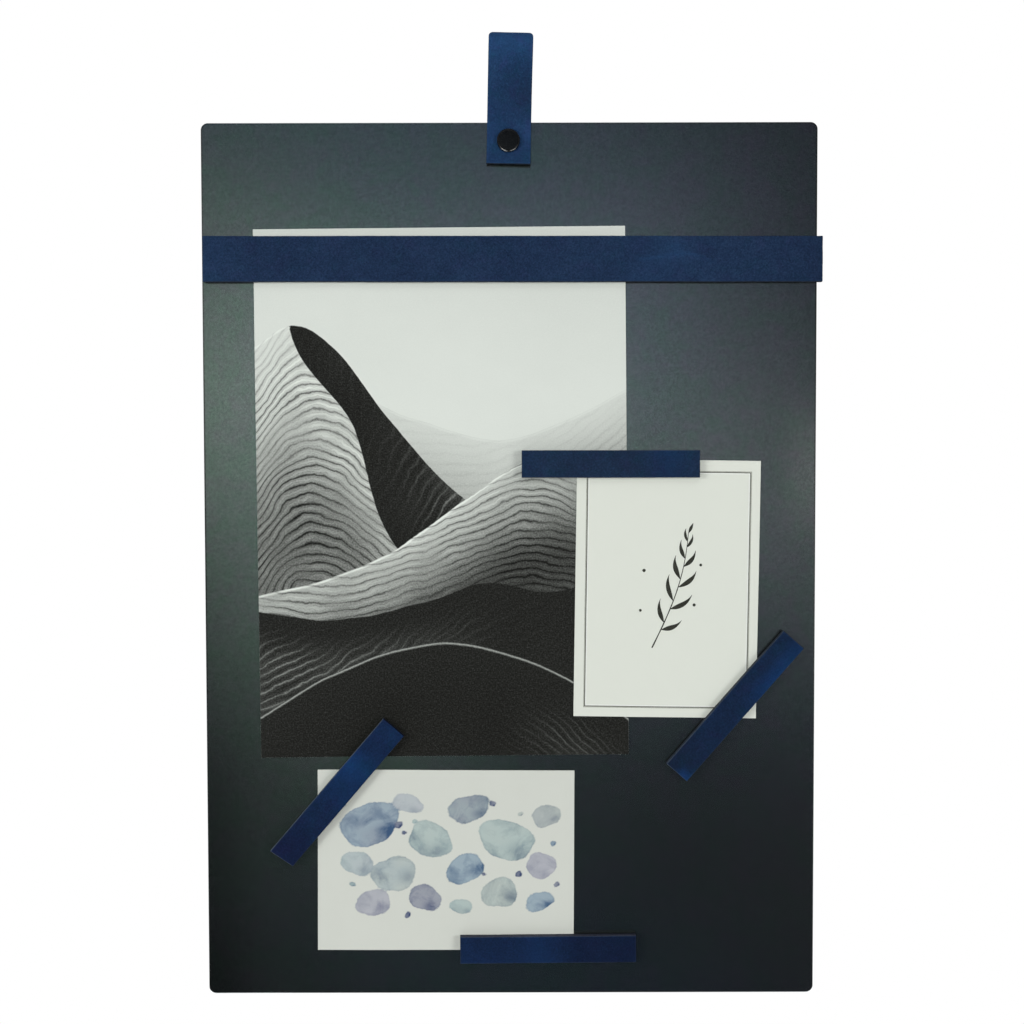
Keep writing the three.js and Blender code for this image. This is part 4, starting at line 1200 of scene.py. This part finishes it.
for side in ("left", "right"):
    lo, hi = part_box("wall_bumper_" + side)
    bx, bz = (lo.x + hi.x) / 2 / MM, (lo.z + hi.z) / 2 / MM
    b0, b1 = lo.y / MM, hi.y / MM
    lathe("rubber_bumper_" + side, rounded([(0, b0), (6, b0), (5.7, b1 - 0.9), (4.9, b1), (0, b1)], [0.3, 0.5, 0.5], 5),
          (bx, bz), 64, (rubber,), "wall_bumper_" + side, "board")

build_sheet("print_sheet", "large_print", "large_print", 211.6, 302.3, PRINT_AT, 1.7, print_face, print_back, print_lift, print_fields)
build_sheet("bordered_sheet", "bordered_card", "bordered_card", 105, 148, BORDERED_AT, 2.0, card_stock, card_stock, bordered_lift)
build_sheet("landscape_sheet", "landscape_card", "landscape_card", 148, 105, LANDSCAPE_AT, 0.9, wash_face, card_stock, landscape_lift, wash_fields)

ink_ribbons("border_line", frame_strokes(-46.2, 46.8, -68.0, 67.1, 0.21), BORDERED_AT, "bordered_card", bordered_lift, ink, "bordered_card")
# painted highlight: a pale line, lighter than the card, just inside the dark frame line
painted_border_highlight = ink_material("border_painted_highlight_line", (0.83, 0.85, 0.80), (0.96, 1.05))
ink_ribbons("border_light", frame_strokes(-45.55, 46.15, -67.35, 66.45, 0.26), BORDERED_AT, "bordered_card", bordered_lift, painted_border_highlight, "bordered_card")
ink_ribbons("border_shade", frame_strokes(-46.75, 47.35, -68.55, 67.65, 0.15), BORDERED_AT, "bordered_card", bordered_lift, ink_pale, "bordered_card")
ink_ribbons("sprig_drawing", sprig_strokes(), BORDERED_AT, "bordered_card", bordered_lift, ink, "bordered_card", height=0.03)

# CAD nodes that are shown as they are
for name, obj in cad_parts.items():
    if "_magnet_" in name or name == "back_screw":
        obj.data.materials.clear()
        obj.data.materials.append(nickel if "_magnet_" in name else black)

# ------------------------------------------------------------------ camera
cam_data = bpy.data.cameras.new("camera")
cam_data.lens, cam_data.sensor_width = 1300 / 1024 * 36, 36
cam_data.clip_start, cam_data.clip_end = 0.05, 50
cam = bpy.data.objects.new("camera", cam_data)
bpy.context.scene.collection.objects.link(cam)
plate_front = (PY - 0.75) * MM
forward = Vector((0.00033955, 0.99940754, -0.03441588)).normalized()
up = Vector((0.00212118, 0.03441509, 0.99940537)).normalized()
right = forward.cross(up).normalized()
up = right.cross(forward)
cam.matrix_world = Matrix((
    (right.x, up.x, -forward.x, (PX + 0.889) * MM),
    (right.y, up.y, -forward.y, plate_front - 0.744247),
    (right.z, up.z, -forward.z, (PZ + 54.649) * MM),
    (0, 0, 0, 1),
))
bpy.context.scene.camera = cam

# ------------------------------------------------------------------ floor and light
floor_mesh = bpy.data.meshes.new("floor")
ring = [(1.3 * math.cos(2 * math.pi * i / 96), 1.3 * math.sin(2 * math.pi * i / 96), -1.20) for i in range(96)]
floor_mesh.from_pydata(ring, [], [list(range(96))])
floor = bpy.data.objects.new("floor", floor_mesh)
bpy.context.scene.collection.objects.link(floor)
fn = Nodes("floor_pale")
floor_mesh.materials.append(fn.surface(Base_Color=(0.86, 0.86, 0.855, 1), Roughness=0.9))
floor.visible_glossy = False  # the steel stands in front of a dark floor


def area(name, place, target, size, power, colour=(1, 1, 1)):
    data = bpy.data.lights.new(name, "AREA")
    data.shape = "RECTANGLE"
    data.size, data.size_y = size
    data.energy = power
    data.color = colour
    obj = bpy.data.objects.new(name, data)
    bpy.context.scene.collection.objects.link(obj)
    obj.location = place
    obj.rotation_euler = (Vector(target) - Vector(place)).to_track_quat("-Z", "Y").to_euler()
    return obj


mid = Vector((0, 0, -0.27))


def around(azimuth, elevation, distance):
    a, e = math.radians(azimuth), math.radians(elevation)
    return mid + distance * Vector((math.cos(e) * math.sin(a), -math.cos(e) * math.cos(a), math.sin(e)))


for name, azimuth, power in (("box_left", -47, 15.8), ("box_right", 47, 12.3)):
    area(name, around(azimuth, 4, 2.0), mid, (0.7, 0.7), power).visible_glossy = False
    # the steel sees a dimmer screen below it instead, so that it doesn't burn out from the side
    area(name + "_screen", around(azimuth, -18, 2.0), mid, (0.7, 0.5), 2.7).visible_diffuse = False
area("box_top", around(-6, 42, 2.0), mid, (1.2, 0.5), 4.06)
# the soft light beside the camera; a polariser keeps it out of the steel
front = area("front", (-0.10, -2.2, -0.13), mid, (0.45, 0.34), 8.9)
front.visible_glossy = False
# a small light low at the left that only the shiny pieces catch
low_box = area("box_low", (-0.32, -0.11, -1.01), Vector((0, 0, -0.06)), (0.25, 0.25), 1.9)
low_box.visible_diffuse = False

world = bpy.data.worlds.new("studio")
bpy.context.scene.world = world
world.use_nodes = True
wt = world.node_tree
wt.nodes.clear()


def wnode(kind):
    return wt.nodes.new(kind)


def wmath(op, a, b=0.0, clamp=False):
    n = wnode("ShaderNodeMath")
    n.operation = op
    n.use_clamp = clamp
    for i, v in enumerate((a, b)):
        if isinstance(v, bpy.types.NodeSocket):
            wt.links.new(v, n.inputs[i])
        else:
            n.inputs[i].default_value = v
    return n.outputs[0]


coord = wnode("ShaderNodeTexCoord").outputs["Generated"]
sep = wnode("ShaderNodeSeparateXYZ")
wt.links.new(coord, sep.inputs[0])
dx, dy, dz = sep.outputs
elev = wmath("MULTIPLY", wmath("ARCSINE", dz), 180 / math.pi)
azim = wmath("MULTIPLY", wmath("ARCTAN2", dx, wmath("MULTIPLY", dy, -1)), 180 / math.pi)  # 0 in front of the board, + to its right


def lobe(e0, a0, se, sa, slope):
    side = wmath("SUBTRACT", azim, a0)
    up_ = wmath("SUBTRACT", wmath("SUBTRACT", elev, e0), wmath("MULTIPLY", side, slope))
    a = wmath("POWER", wmath("ABSOLUTE", wmath("DIVIDE", up_, se)), 2.0)
    b = wmath("POWER", wmath("ABSOLUTE", wmath("DIVIDE", side, sa)), 2.0)
    return wmath("POWER", 2.718281828, wmath("MULTIPLY", wmath("ADD", a, b), -0.5))


def wvector(op, a, b, scale=None):
    n = wnode("ShaderNodeVectorMath")
    n.operation = op
    for k, v in enumerate((a, b)):
        if isinstance(v, bpy.types.NodeSocket):
            wt.links.new(v, n.inputs[k])
        elif v is not None:
            n.inputs[k].default_value = v
    if isinstance(scale, bpy.types.NodeSocket):
        wt.links.new(scale, n.inputs["Scale"])
    elif scale is not None:
        n.inputs["Scale"].default_value = scale
    return n.outputs[0]


# What stands in front of the board and shows blurred in its satin steel: a bright wall about level with the camera, and a
# dark floor below it. (elevation, azimuth, spreads, slope) in degrees, and the light's colour.
ROOM = [
    ((-1.88, -8.71, 6.67, 4.20, -1.0), (0.862, 1.086, 0.879)),
    ((5.15, -16.04, 3.82, 43.8, -0.23), (0.775, 0.761, 0.713)),
    ((6.90, 1.50, 3.85, 7.06, 0.41), (0.408, 0.413, 0.525)),
    ((13.29, -4.12, 11.59, 13.1, -0.99), (0.203, 0.331, 0.387)),
    ((-22.36, 2.02, 2.86, 10.88, -0.26), (0.079, 0.171, 0.194)),
]
room = (0.0, 0.0, 0.0)
for shape, colour in ROOM:
    room = wvector("ADD", room, wvector("SCALE", colour, None, lobe(*shape)))
# the steel's matt share already gives part of what the photograph shows, so the room is that much darker
room = wvector("MAXIMUM", wvector("ADD", wvector("MULTIPLY", room, (1.122, 1.139, 1.080)), (-0.115, -0.154, -0.112)), (0.0, 0.0, 0.0))
# soft grey surroundings away from that, all the way round
facing = wmath("ADD", wmath("MULTIPLY", dy, -0.9976), wmath("MULTIPLY", dz, -0.0698))
around_node = wnode("ShaderNodeMapRange")
around_node.interpolation_type = "SMOOTHSTEP"
wt.links.new(facing, around_node.inputs["Value"])
for k, v in (("From Min", 0.883), ("From Max", 0.469), ("To Min", 0.0), ("To Max", 0.24)):
    around_node.inputs[k].default_value = v
room = wvector("ADD", room, wvector("SCALE", (0.97, 1.0, 1.08), None, around_node.outputs[0]))
# a pale glow low at the left, which the bevel of the cap catches
low = wmath("ADD", wmath("ADD", wmath("MULTIPLY", dx, -0.50), wmath("MULTIPLY", dz, -0.850)), wmath("MULTIPLY", dy, -0.165))
glow = wnode("ShaderNodeMapRange")
glow.interpolation_type = "SMOOTHSTEP"
wt.links.new(low, glow.inputs["Value"])
for k, v in (("From Min", 0.90), ("From Max", 0.985), ("To Min", 0.0), ("To Max", 17.0)):
    glow.inputs[k].default_value = v
room = wvector("ADD", room, wvector("SCALE", (1.0, 1.0, 0.97), None, glow.outputs[0]))
low = wmath("ADD", wmath("ADD", wmath("MULTIPLY", dx, 0.50), wmath("MULTIPLY", dz, -0.850)), wmath("MULTIPLY", dy, -0.165))
glow = wnode("ShaderNodeMapRange")
glow.interpolation_type = "SMOOTHSTEP"
wt.links.new(low, glow.inputs["Value"])
for k, v in (("From Min", 0.92), ("From Max", 0.985), ("To Min", 0.0), ("To Max", 12.0)):
    glow.inputs[k].default_value = v
room = wvector("ADD", room, wvector("SCALE", (1.0, 1.0, 0.97), None, glow.outputs[0]))
path = wnode("ShaderNodeLightPath")
back = wnode("ShaderNodeBackground")
wt.links.new(room, back.inputs["Color"])
back.inputs["Strength"].default_value = 1.0
plain = wnode("ShaderNodeBackground")
plain.inputs["Color"].default_value = (1, 1, 1, 1)
plain.inputs["Strength"].default_value = 1.0
mix = wnode("ShaderNodeMixShader")
wt.links.new(path.outputs["Is Camera Ray"], mix.inputs[0])
wt.links.new(back.outputs[0], mix.inputs[1])
wt.links.new(plain.outputs[0], mix.inputs[2])
wout = wnode("ShaderNodeOutputWorld")
wt.links.new(mix.outputs[0], wout.inputs[0])

scene = bpy.context.scene
scene.view_settings.view_transform = "Standard"
scene.view_settings.look = "None"
scene.view_settings.exposure = 0.0
scene.view_settings.gamma = 1.0
